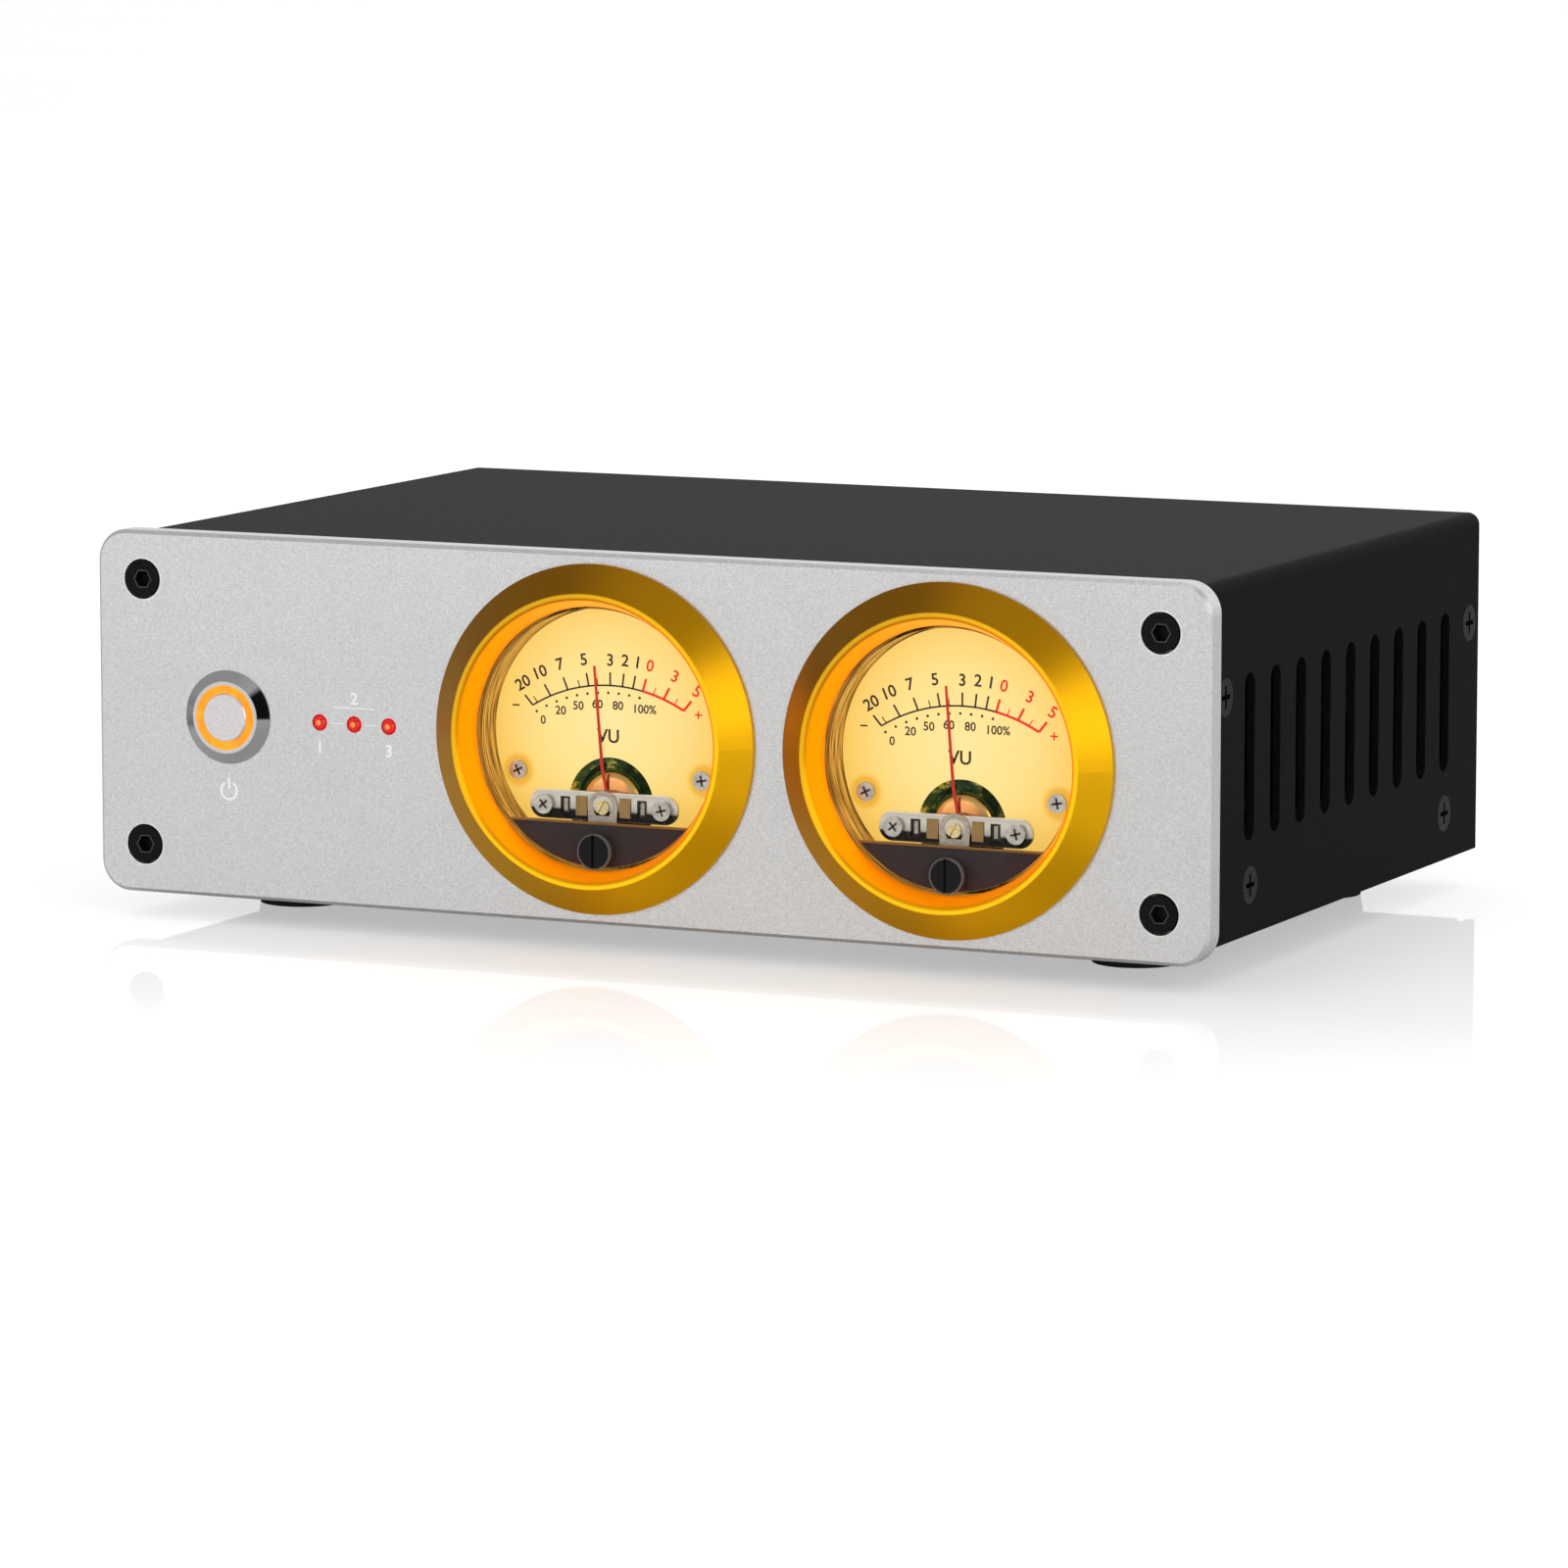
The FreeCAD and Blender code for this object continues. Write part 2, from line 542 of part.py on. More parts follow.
def front_subpanel():
    web = inner_plate(PANEL_BACK_Y, SUBPANEL_BACK_Y)
    web = web.fuse(side_tabs(PANEL_BACK_Y, SUBPANEL_BACK_Y + SIDE_TAB_LENGTH, SUBPANEL_SHEET,
                             upper_side_screw_ys()[0]))
    holes = [rod(METER_HOLE_RADIUS, PANEL_BACK_Y, SUBPANEL_BACK_Y, x, PANEL_MIDDLE_Z)
             for x in METERS.values()]
    thread_hole = SWITCH_THREAD_RADIUS + HOLE_CLEARANCE
    holes.append(rod(thread_hole, PANEL_BACK_Y, SUBPANEL_BACK_Y, SWITCH_X, PANEL_MIDDLE_Z))
    light_hole = INDICATOR_RADIUS + HOLE_CLEARANCE
    holes += [rod(light_hole, PANEL_BACK_Y, SUBPANEL_BACK_Y, x, PANEL_MIDDLE_Z) for x in INDICATOR_X]
    screw_hole = PANEL_SCREW_RADIUS + HOLE_CLEARANCE
    holes += [rod(screw_hole, PANEL_BACK_Y, SUBPANEL_BACK_Y, x, z) for x, z in panel_screw_places()]
    for meter_x in METERS.values():
        for x, z in housing_screw_places(meter_x):
            holes.append(rod(HOUSING_SCREW_RADIUS, PANEL_BACK_Y, SUBPANEL_BACK_Y, x, z))
    return web.cut(holes).removeSplitter()


def rear_panel():
    web = inner_plate(REAR_FRONT_Y, CASE_BACK_Y)
    tab_front = REAR_FRONT_Y - SIDE_TAB_LENGTH
    web = web.fuse(side_tabs(tab_front, CASE_BACK_Y, REAR_SHEET, upper_side_screw_ys()[1]))
    rca_hole = RCA_THREAD_RADIUS + HOLE_CLEARANCE
    holes = [rod(rca_hole, REAR_FRONT_Y, CASE_BACK_Y, x, SOCKET_Z) for x in RCA_X]
    holes.append(rod(DC_THREAD_RADIUS + HOLE_CLEARANCE, REAR_FRONT_Y, CASE_BACK_Y, DC_X, SOCKET_Z))
    return web.cut(holes).removeSplitter()


def channel(half, sheet, y_front, y_back, z_low, z_high, bend, opens_down):
    """Folded sheet with a flat web and two side walls, rounded outside and inside at the bends."""
    outer = block(-half, half, y_front, y_back, z_low, z_high)
    web_z = z_high if opens_down else z_low
    bends = [e for e in outer.Edges if lies_along(e, BACKWARD)
             and abs(e.BoundBox.ZMin - web_z) < sheet / 2]
    outer = outer.makeFillet(bend, bends)
    inner_low = z_low if opens_down else z_low + sheet
    inner_high = z_high - sheet if opens_down else z_high
    inner = block(sheet - half, half - sheet, y_front, y_back, inner_low, inner_high)
    inner_web = inner_high if opens_down else inner_low
    bends = [e for e in inner.Edges if lies_along(e, BACKWARD)
             and abs(e.BoundBox.ZMin - inner_web) < sheet / 2]
    inner = inner.makeFillet(max(bend - sheet, SHEET_FIT), bends)
    return outer.cut(inner)


def top_cover():
    half = CASE_WIDTH / 2
    cover = channel(half, COVER_SHEET, PANEL_BACK_Y, CASE_BACK_Y, CASE_BOTTOM_Z, CASE_TOP_Z,
                    COVER_BEND_RADIUS, True)
    inside = half - COVER_SHEET
    cuts = []
    for side in SIDES:
        for i in range(VENT_COUNT):
            y = PANEL_BACK_Y + VENT_FIRST_FROM_PANEL + i * VENT_PITCH
            cuts.append(upright_slot(VENT_WIDTH, VENT_LENGTH, inside, half, side, y, VENT_LOWEST))
    for side, y, z in side_screw_places():
        wide = SIDE_SCREW_HEAD_RADIUS + HOLE_CLEARANCE
        narrow = wide - COVER_SHEET
        cuts.append(Part.makeCone(wide, narrow, COVER_SHEET, Vector(side * half, y, z), Vector(-side, 0, 0)))
    return cover.cut(cuts)


def cover_screws():
    """Countersunk screws in the cover's sides, each with the clinch nut that takes it."""
    half = CASE_WIDTH / 2
    pieces = []
    for side, y, z in side_screw_places():
        sheet = CHASSIS_SHEET if z == LOWER_SCREW_Z else SUBPANEL_SHEET
        if z == UPPER_SCREW_Z and y > CASE_MIDDLE_Y:
            sheet = REAR_SHEET
        inward = Vector(-side, 0, 0)
        end = Vector(side * half, y, z)
        narrow = SIDE_SCREW_HEAD_RADIUS - COVER_SHEET
        head = Part.makeCone(SIDE_SCREW_HEAD_RADIUS, narrow, COVER_SHEET, end, inward)
        shank = side_rod(SIDE_SCREW_RADIUS, half - SIDE_SCREW_LENGTH, half, side, y, z)
        arm = CROSS_RECESS_LENGTH / 2
        thin = CROSS_RECESS_WIDTH / 2
        x_low, x_high = sorted((side * half, side * (half - CROSS_RECESS_DEPTH)))
        recess = [block(x_low, x_high, y - arm, y + arm, z - thin, z + thin),
                  block(x_low, x_high, y - thin, y + thin, z - arm, z + arm)]
        pieces.append(head.fuse(shank).cut(recess))
        nut_far = half - COVER_SHEET - SHEET_FIT - sheet
        nut = side_rod(SIDE_NUT_RADIUS, nut_far - SIDE_NUT_LENGTH, nut_far, side, y, z)
        pieces.append(nut.cut(side_rod(SIDE_SCREW_RADIUS, nut_far - SIDE_NUT_LENGTH, nut_far, side, y, z)))
    return Part.makeCompound(pieces)


def bottom_chassis():
    half = CASE_WIDTH / 2 - COVER_SHEET - SHEET_FIT
    tray = channel(half, CHASSIS_SHEET, SUBPANEL_BACK_Y + SHEET_FIT, REAR_FRONT_Y - SHEET_FIT, CASE_BOTTOM_Z,
                   CASE_BOTTOM_Z + CHASSIS_FLANGE_HEIGHT, CHASSIS_BEND_RADIUS, False)
    flat = half - CHASSIS_BEND_RADIUS
    lips = block(-flat, flat, PANEL_BACK_Y, CASE_BACK_Y, CASE_BOTTOM_Z, FLOOR_TOP_Z)
    tray = tray.fuse(lips)
    hole = FOOT_SCREW_RADIUS + HOLE_CLEARANCE
    cuts = [Part.makeCylinder(hole, CHASSIS_SHEET, Vector(x, y, CASE_BOTTOM_Z), UPWARD)
            for x, y in foot_places()]
    for side in SIDES:
        for y in lower_side_screw_ys():
            bore = SIDE_SCREW_RADIUS + HOLE_CLEARANCE
            cuts.append(side_rod(bore, half - CHASSIS_SHEET, half, side, y, LOWER_SCREW_Z))
    return tray.cut(cuts).removeSplitter()


def rubber_feet():
    feet = []
    for x, y in foot_places():
        foot = Part.makeCone(FOOT_BOTTOM_RADIUS, FOOT_TOP_RADIUS, FOOT_HEIGHT, Vector(x, y, 0), UPWARD)
        recess = Part.makeCylinder(FOOT_RECESS_RADIUS, FOOT_RECESS_DEPTH, Vector(x, y, 0), UPWARD)
        bore = Part.makeCylinder(FOOT_SCREW_RADIUS, FOOT_HEIGHT, Vector(x, y, 0), UPWARD)
        feet.append(foot.cut([recess, bore]))
    return Part.makeCompound(feet)


def foot_screws():
    """Screws up through the feet, each with its nut on the chassis floor."""
    pieces = []
    head_low = FOOT_RECESS_DEPTH - FOOT_SCREW_HEAD_HEIGHT
    top = FLOOR_TOP_Z + FOOT_NUT_HEIGHT
    for x, y in foot_places():
        low = Vector(x, y, head_low)
        head = Part.makeCylinder(FOOT_SCREW_HEAD_RADIUS, FOOT_SCREW_HEAD_HEIGHT, low, UPWARD)
        shank = Part.makeCylinder(FOOT_SCREW_RADIUS, top - head_low, low, UPWARD)
        pieces.append(head.fuse(shank))
        seat = Vector(x, y, FLOOR_TOP_Z)
        nut = Part.makeCylinder(FOOT_NUT_RADIUS, FOOT_NUT_HEIGHT, seat, UPWARD)
        pieces.append(nut.cut(Part.makeCylinder(FOOT_SCREW_RADIUS, FOOT_NUT_HEIGHT, seat, UPWARD)))
    return Part.makeCompound(pieces)


def bezel(meter_x):
    """Turned ring: a cone up to a bevelled ridge, a funnel down to the window, a spigot behind."""
    rim_y = FACE_Y - BEZEL_RIM_HEIGHT
    ridge_y = FACE_Y - BEZEL_PROUD
    shoulder_y = ridge_y + BEZEL_RIDGE_DROP
    outer_shoulder = BEZEL_RIDGE_RADIUS + BEZEL_RIDGE_HALF_WIDTH
    inner_shoulder = BEZEL_RIDGE_RADIUS - BEZEL_RIDGE_HALF_WIDTH
    flat = BEZEL_RIDGE_FLAT / 2
    edges = straight_edges([(BEZEL_RADIUS, FACE_Y), (BEZEL_RADIUS, rim_y), (outer_shoulder, shoulder_y),
                            (BEZEL_RIDGE_RADIUS + flat, ridge_y), (BEZEL_RIDGE_RADIUS - flat, ridge_y),
                            (inner_shoulder, shoulder_y), (BEZEL_LIP_RADIUS, FACE_Y),
                            (BEZEL_LIP_RADIUS, WINDOW_FRONT_Y), (BEZEL_BORE_RADIUS, WINDOW_FRONT_Y),
                            (BEZEL_BORE_RADIUS, SUBPANEL_BACK_Y), (BEZEL_SPIGOT_RADIUS, SUBPANEL_BACK_Y),
                            (BEZEL_SPIGOT_RADIUS, FACE_Y), (BEZEL_RADIUS, FACE_Y)])
    return turned(edges, meter_x, PANEL_MIDDLE_Z)


def window(meter_x):
    """Clear cup: a flat front with a hole for the zero screw, and a wall back to the housing."""
    cup = rod(WINDOW_RADIUS, WINDOW_FRONT_Y, CUP_END_Y, meter_x, PANEL_MIDDLE_Z)
    hollow = rod(WINDOW_RADIUS - WINDOW_WALL, WINDOW_BACK_Y, CUP_END_Y, meter_x, PANEL_MIDDLE_Z)
    hole = rod(ZERO_STEM_RADIUS + ZERO_STEM_CLEARANCE, WINDOW_FRONT_Y, WINDOW_BACK_Y, meter_x, ZERO_SCREW_Z)
    return cup.cut([hollow, hole])


def mask(meter_x):
    """Dark segment behind the lower part of the window."""
    radius = WINDOW_RADIUS - WINDOW_WALL - OPTICAL_FIT
    disc = rod(radius, WINDOW_BACK_Y, MASK_BACK_Y, meter_x, PANEL_MIDDLE_Z)
    top = PANEL_MIDDLE_Z - MASK_TOP_BELOW_CENTRE
    upper = block(meter_x - radius, meter_x + radius, WINDOW_BACK_Y, MASK_BACK_Y, top,
                  PANEL_MIDDLE_Z + radius)
    hole = rod(ZERO_STEM_RADIUS + ZERO_STEM_CLEARANCE, WINDOW_BACK_Y, MASK_BACK_Y, meter_x, ZERO_SCREW_Z)
    return disc.cut([upper, hole])


def housing(meter_x):
    """Moulded cup behind the window, with a flange that seats on the back of the sub-panel."""
    z = PANEL_MIDDLE_Z
    cup = rod(WINDOW_RADIUS, CUP_END_Y, HOUSING_END_Y, meter_x, z)
    hollow = rod(HOUSING_INSIDE_RADIUS, CUP_END_Y, HOUSING_FLOOR_Y, meter_x, z)
    back = HOUSING_FLANGE_BACK_Y
    flange = tube(HOUSING_FLANGE_RADIUS, BEZEL_BORE_RADIUS, SUBPANEL_BACK_Y, back, meter_x, z)
    collar = tube(HOUSING_FLANGE_RADIUS, HOUSING_INSIDE_RADIUS, CUP_END_Y, back, meter_x, z)
    cuts = [rod(HOUSING_SCREW_RADIUS, SUBPANEL_BACK_Y, back, sx, sz)
            for sx, sz in housing_screw_places(meter_x)]
    cuts += [rod(LAMP_RADIUS + HOLE_CLEARANCE, HOUSING_FLOOR_Y, HOUSING_END_Y, lx, lz)
             for lx, lz in lamp_places(meter_x)]
    return cup.cut(hollow).fuse([flange, collar]).cut(cuts).removeSplitter()


def housing_screws():
    screws = []
    back = HOUSING_FLANGE_BACK_Y
    for meter_x in METERS.values():
        for x, z in housing_screw_places(meter_x):
            shank = rod(HOUSING_SCREW_RADIUS, PANEL_BACK_Y, back, x, z)
            head = rod(HOUSING_SCREW_HEAD_RADIUS, back, back + HOUSING_SCREW_HEAD_HEIGHT, x, z)
            screws.append(shank.fuse(head))
    return Part.makeCompound(screws)


def dial_plate(meter_x):
    """Round plate with a half-round cut-out above the pivot, cut flat below the bridge."""
    dial = rod(DIAL_RADIUS, DIAL_FRONT_Y, DIAL_BACK_Y, meter_x, PANEL_MIDDLE_Z)
    bottom = PANEL_MIDDLE_Z - DIAL_BOTTOM_BELOW_CENTRE
    cuts = [block(meter_x - DIAL_RADIUS, meter_x + DIAL_RADIUS, DIAL_FRONT_Y, DIAL_BACK_Y,
                  PANEL_MIDDLE_Z - DIAL_RADIUS, bottom)]
    cuts.append(rod(DIAL_CUTOUT_RADIUS, DIAL_FRONT_Y, DIAL_BACK_Y, meter_x, PIVOT_Z))
    cuts += [rod(POST_RADIUS + HOLE_CLEARANCE, DIAL_FRONT_Y, DIAL_BACK_Y, x, z)
             for x, z in bridge_screw_places(meter_x)]
    cuts += [rod(DIAL_SCREW_RADIUS, DIAL_FRONT_Y, DIAL_BACK_Y, x, z) for x, z in dial_screw_places(meter_x)]
    return dial.cut(cuts)


def headed_screw(radius, length, head_radius, head_height, seat_y, x, z):
    head = rod(head_radius, seat_y - head_height, seat_y, x, z)
    return head.fuse(rod(radius, seat_y, seat_y + length, x, z))


def dial_screws():
    return Part.makeCompound([headed_screw(DIAL_SCREW_RADIUS, DIAL_SCREW_LENGTH, DIAL_SCREW_HEAD_RADIUS,
                                           DIAL_SCREW_HEAD_HEIGHT, DIAL_FRONT_Y, x, z)
                              for meter_x in METERS.values() for x, z in dial_screw_places(meter_x)])


def bridge_screws():
    return Part.makeCompound([headed_screw(BRIDGE_SCREW_RADIUS, BRIDGE_SCREW_LENGTH, BRIDGE_SCREW_HEAD_RADIUS,
                                           BRIDGE_SCREW_HEAD_HEIGHT, BRIDGE_FRONT_Y, x, z)
                              for meter_x in METERS.values() for x, z in bridge_screw_places(meter_x)])


def bridge(meter_x):
    """Round-ended bar across the movement, with a boss on a tab for the front jewel and two slots."""
    radius = BRIDGE_HEIGHT / 2
    straight = BRIDGE_HALF_LENGTH - radius
    bar = block(meter_x - straight, meter_x + straight, BRIDGE_FRONT_Y, BRIDGE_BACK_Y, PIVOT_Z - radius,
                PIVOT_Z + radius)
    ends = [rod(radius, BRIDGE_FRONT_Y, BRIDGE_BACK_Y, meter_x + side * straight, PIVOT_Z) for side in SIDES]
    boss_front = BRIDGE_FRONT_Y - BRIDGE_BOSS_RISE
    boss = rod(BRIDGE_BOSS_RADIUS, boss_front, BRIDGE_BACK_Y, meter_x, PIVOT_Z)
    tab = block(meter_x - BRIDGE_TAB_HALF_WIDTH, meter_x + BRIDGE_TAB_HALF_WIDTH, boss_front, BRIDGE_BACK_Y,
                PIVOT_Z - BRIDGE_TAB_DROP, PIVOT_Z)
    bar = bar.fuse(ends + [boss, tab])
    cuts = [rod(BRIDGE_SCREW_RADIUS, BRIDGE_FRONT_Y, BRIDGE_BACK_Y, x, z)
            for x, z in bridge_screw_places(meter_x)]
    cuts.append(rod(JEWEL_SCREW_RADIUS, boss_front, BRIDGE_BACK_Y, meter_x, PIVOT_Z))
    for side in SIDES:
        x = meter_x + side * BRIDGE_SLOT_X
        cuts.append(block(x - BRIDGE_SLOT_WIDTH / 2, x + BRIDGE_SLOT_WIDTH / 2, BRIDGE_FRONT_Y, BRIDGE_BACK_Y,
                          PIVOT_Z - BRIDGE_SLOT_HEIGHT / 2, PIVOT_Z + BRIDGE_SLOT_HEIGHT / 2))
    return bar.cut(cuts).removeSplitter()


def jewel_screws():
    """Slotted screws that hold the two jewels of each movement, each with its cup for the pivot."""
    screws = []
    cup = PIVOT_RADIUS + PIVOT_CLEARANCE
    for x in METERS.values():
        front = BRIDGE_FRONT_Y - BRIDGE_BOSS_RISE - JEWEL_SCREW_PROUD
        screw = rod(JEWEL_SCREW_RADIUS, front, JEWEL_BACK_Y, x, PIVOT_Z)
        slot = block(x - JEWEL_SCREW_RADIUS, x + JEWEL_SCREW_RADIUS, front, front + JEWEL_SLOT_DEPTH,
                     PIVOT_Z - JEWEL_SLOT_WIDTH / 2, PIVOT_Z + JEWEL_SLOT_WIDTH / 2)
        turn_about_pivot(slot, JEWEL_SLOT_TURN, x, PIVOT_Z)
        screws.append(screw.cut([slot, rod(cup, JEWEL_BACK_Y - JEWEL_CUP_DEPTH, JEWEL_BACK_Y, x, PIVOT_Z)]))
        rear = rod(JEWEL_SCREW_RADIUS, REAR_JEWEL_Y, HOUSING_FLOOR_Y, x, PIVOT_Z)
        screws.append(rear.cut(rod(cup, REAR_JEWEL_Y, REAR_JEWEL_Y + JEWEL_CUP_DEPTH, x, PIVOT_Z)))
    return Part.makeCompound(screws)


def movement_frame(meter_x):
    """Moulded base with posts for the dial and the bridge and a round seat for the yoke."""
    base = rod(FRAME_PLATE_RADIUS, FRAME_FRONT_Y, HOUSING_FLOOR_Y, meter_x, PANEL_MIDDLE_Z)
    posts = [rod(POST_RADIUS, BRIDGE_BACK_Y, FRAME_FRONT_Y, x, z) for x, z in bridge_screw_places(meter_x)]
    posts += [rod(POST_RADIUS, DIAL_BACK_Y, FRAME_FRONT_Y, x, z) for x, z in dial_screw_places(meter_x)]
    seat = tube(YOKE_OUTER_RADIUS, YOKE_INNER_RADIUS, YOKE_BACK_Y, FRAME_FRONT_Y, meter_x, PIVOT_Z)
    cuts = [rod(JEWEL_SCREW_RADIUS, FRAME_FRONT_Y, HOUSING_FLOOR_Y, meter_x, PIVOT_Z)]
    cuts += [rod(BRIDGE_SCREW_RADIUS, BRIDGE_FRONT_Y, BRIDGE_FRONT_Y + BRIDGE_SCREW_LENGTH, x, z)
             for x, z in bridge_screw_places(meter_x)]
    cuts += [rod(DIAL_SCREW_RADIUS, DIAL_FRONT_Y, DIAL_FRONT_Y + DIAL_SCREW_LENGTH, x, z)
             for x, z in dial_screw_places(meter_x)]
    cuts += [rod(LAMP_RADIUS + HOLE_CLEARANCE, FRAME_FRONT_Y, HOUSING_FLOOR_Y, x, z)
             for x, z in lamp_places(meter_x)]
    return base.fuse(posts + [seat]).cut(cuts).removeSplitter()


def yoke_ring(meter_x):
    return tube(YOKE_OUTER_RADIUS, YOKE_INNER_RADIUS, YOKE_FRONT_Y, YOKE_BACK_Y, meter_x, PIVOT_Z)


def core_magnet(meter_x):
    """Round core inside the coil, held in the yoke by a web above and below, clear of the coil."""
    core = rod(CORE_RADIUS, CORE_FRONT_Y, CORE_BACK_Y, meter_x, PIVOT_Z)
    web = block(meter_x - CORE_WEB_HALF_WIDTH, meter_x + CORE_WEB_HALF_WIDTH, CORE_FRONT_Y, CORE_BACK_Y,
                PIVOT_Z - YOKE_INNER_RADIUS, PIVOT_Z + YOKE_INNER_RADIUS)
    inside = rod(YOKE_INNER_RADIUS, CORE_FRONT_Y, CORE_BACK_Y, meter_x, PIVOT_Z)
    return core.fuse(web.common(inside)).removeSplitter()


def coil(meter_x):
    """Wound frame round the core, with its staff and the domed cheek seen through the dial."""
    inner = CORE_RADIUS + COIL_GAP
    outer = inner + COIL_SIDE
    half = COIL_THICKNESS / 2
    former = block(meter_x - outer, meter_x + outer, COIL_FRONT_Y, COIL_BACK_Y, PIVOT_Z - half,
                   PIVOT_Z + half)
    corners = [e for e in former.Edges if lies_along(e, UPWARD)]
    former = former.makeFillet(COIL_CORNER_RADIUS, corners)
    hollow = block(meter_x - inner, meter_x + inner, COIL_FRONT_Y + COIL_END, COIL_BACK_Y - COIL_END,
                   PIVOT_Z - half, PIVOT_Z + half)
    cap = rod(COIL_CAP_RADIUS, COIL_FRONT_Y - COIL_CAP_THICKNESS, COIL_FRONT_Y, meter_x, PIVOT_Z)
    staff_front = JEWEL_BACK_Y - JEWEL_CUP_DEPTH + PIVOT_END_GAP
    staff_back = REAR_JEWEL_Y + JEWEL_CUP_DEPTH - PIVOT_END_GAP
    staff = [rod(PIVOT_RADIUS, staff_front, COIL_FRONT_Y, meter_x, PIVOT_Z),
             rod(PIVOT_RADIUS, COIL_BACK_Y, staff_back, meter_x, PIVOT_Z)]
    shape = former.cut(hollow).fuse([cap] + staff).removeSplitter()
    return turn_about_pivot(shape, POINTER_REST_ANGLE, meter_x, PIVOT_Z)


def pointer(meter_x):
    """Needle beside the staff's axis, with a bend down to its hub and three small balance weights."""
    base = POINTER_BASE_WIDTH / 2
    tip = POINTER_TIP_WIDTH / 2
    bend_z = PIVOT_Z + POINTER_BEND_ABOVE_PIVOT
    tip_z = PIVOT_Z + POINTER_LENGTH
    needle_x = meter_x - POINTER_OFFSET
    outline = [(meter_x - base, PIVOT_Z), (needle_x - base, bend_z), (needle_x - tip, tip_z),
               (needle_x + tip, tip_z), (needle_x + base, bend_z), (meter_x + base, PIVOT_Z)]
    needle = plate(outline, POINTER_FRONT_Y, POINTER_BACK_Y)
    hub = rod(POINTER_HUB_RADIUS, HUB_FRONT_Y, POINTER_BACK_Y, meter_x, PIVOT_Z)
    collet = rod(HAIRSPRING_COLLET_RADIUS, HUB_FRONT_Y - HAIRSPRING_HEIGHT, HUB_FRONT_Y, meter_x, PIVOT_Z)
    pieces = [hub, collet]
    for turn in COUNTERWEIGHT_TURNS:
        arm = plate([(meter_x - tip, PIVOT_Z), (meter_x - tip, PIVOT_Z + COUNTERWEIGHT_ARM),
                     (meter_x + tip, PIVOT_Z + COUNTERWEIGHT_ARM), (meter_x + tip, PIVOT_Z)],
                    POINTER_FRONT_Y, POINTER_BACK_Y)
        weight = rod(COUNTERWEIGHT_RADIUS, POINTER_FRONT_Y, POINTER_BACK_Y, meter_x,
                     PIVOT_Z + COUNTERWEIGHT_ARM)
        pieces.append(turn_about_pivot(arm.fuse(weight), turn, meter_x, PIVOT_Z))
    bore = rod(PIVOT_RADIUS, HUB_FRONT_Y - HAIRSPRING_HEIGHT, POINTER_BACK_Y, meter_x, PIVOT_Z)
    shape = needle.fuse(pieces).cut(bore).removeSplitter()
    return turn_about_pivot(shape, POINTER_REST_ANGLE, meter_x, PIVOT_Z)


def half_turn(centre_x, radius, y, upper):
    """Half circle about the pivot's height, from the left of its centre to the right or back."""
    sign = 1 if upper else -1
    return Part.Arc(Vector(centre_x - sign * radius, y, PIVOT_Z),
                    Vector(centre_x, y, PIVOT_Z + sign * radius),
                    Vector(centre_x + sign * radius, y, PIVOT_Z)).toShape()


def hairspring(meter_x):
    """Flat spiral strip of half circles about two centres, from the collet outwards."""
    y = HUB_FRONT_Y - HAIRSPRING_HEIGHT
    growth = HAIRSPRING_PITCH / 2
    inner = []
    outer = []
    for i in range(2 * HAIRSPRING_TURNS):
        upper = i % 2 == 0
        centre = meter_x if upper else meter_x - growth
        radius = HAIRSPRING_COLLET_RADIUS + i * growth
        inner.append(half_turn(centre, radius, y, upper))
        outer.append(half_turn(centre, radius + HAIRSPRING_STRIP, y, upper))
    start = Part.makeLine(inner[0].Vertexes[0].Point, outer[0].Vertexes[0].Point)
    end = Part.makeLine(inner[-1].Vertexes[-1].Point, outer[-1].Vertexes[-1].Point)
    wire = Part.Wire(Part.__sortEdges__(inner + [end] + outer + [start]))
    return Part.Face(wire).extrude(Vector(0, HAIRSPRING_HEIGHT, 0))


def zero_screw(meter_x):
    """Slotted adjuster in the window, with a collar behind it and an off-centre pin."""
    head_front = FACE_Y - ZERO_HEAD_PROUD
    head_back = WINDOW_FRONT_Y - ZERO_HEAD_GAP
    head = rod(ZERO_HEAD_RADIUS, head_front, head_back, meter_x, ZERO_SCREW_Z)
    slot = block(meter_x - ZERO_SLOT_WIDTH / 2, meter_x + ZERO_SLOT_WIDTH / 2, head_front,
                 head_front + ZERO_SLOT_DEPTH, ZERO_SCREW_Z - ZERO_HEAD_RADIUS,
                 ZERO_SCREW_Z + ZERO_HEAD_RADIUS)
    stem = rod(ZERO_STEM_RADIUS, head_back, ZERO_COLLAR_Y, meter_x, ZERO_SCREW_Z)
    collar_back = ZERO_COLLAR_Y + ZERO_COLLAR_THICKNESS
    collar = rod(ZERO_COLLAR_RADIUS, ZERO_COLLAR_Y, collar_back, meter_x, ZERO_SCREW_Z)
    pin = rod(ZERO_PIN_RADIUS, collar_back, ZERO_ARM_BACK_Y + ZERO_ARM_THICKNESS, meter_x,
              ZERO_SCREW_Z - ZERO_PIN_OFFSET)
    return head.cut(slot).fuse([stem, collar, pin]).removeSplitter()


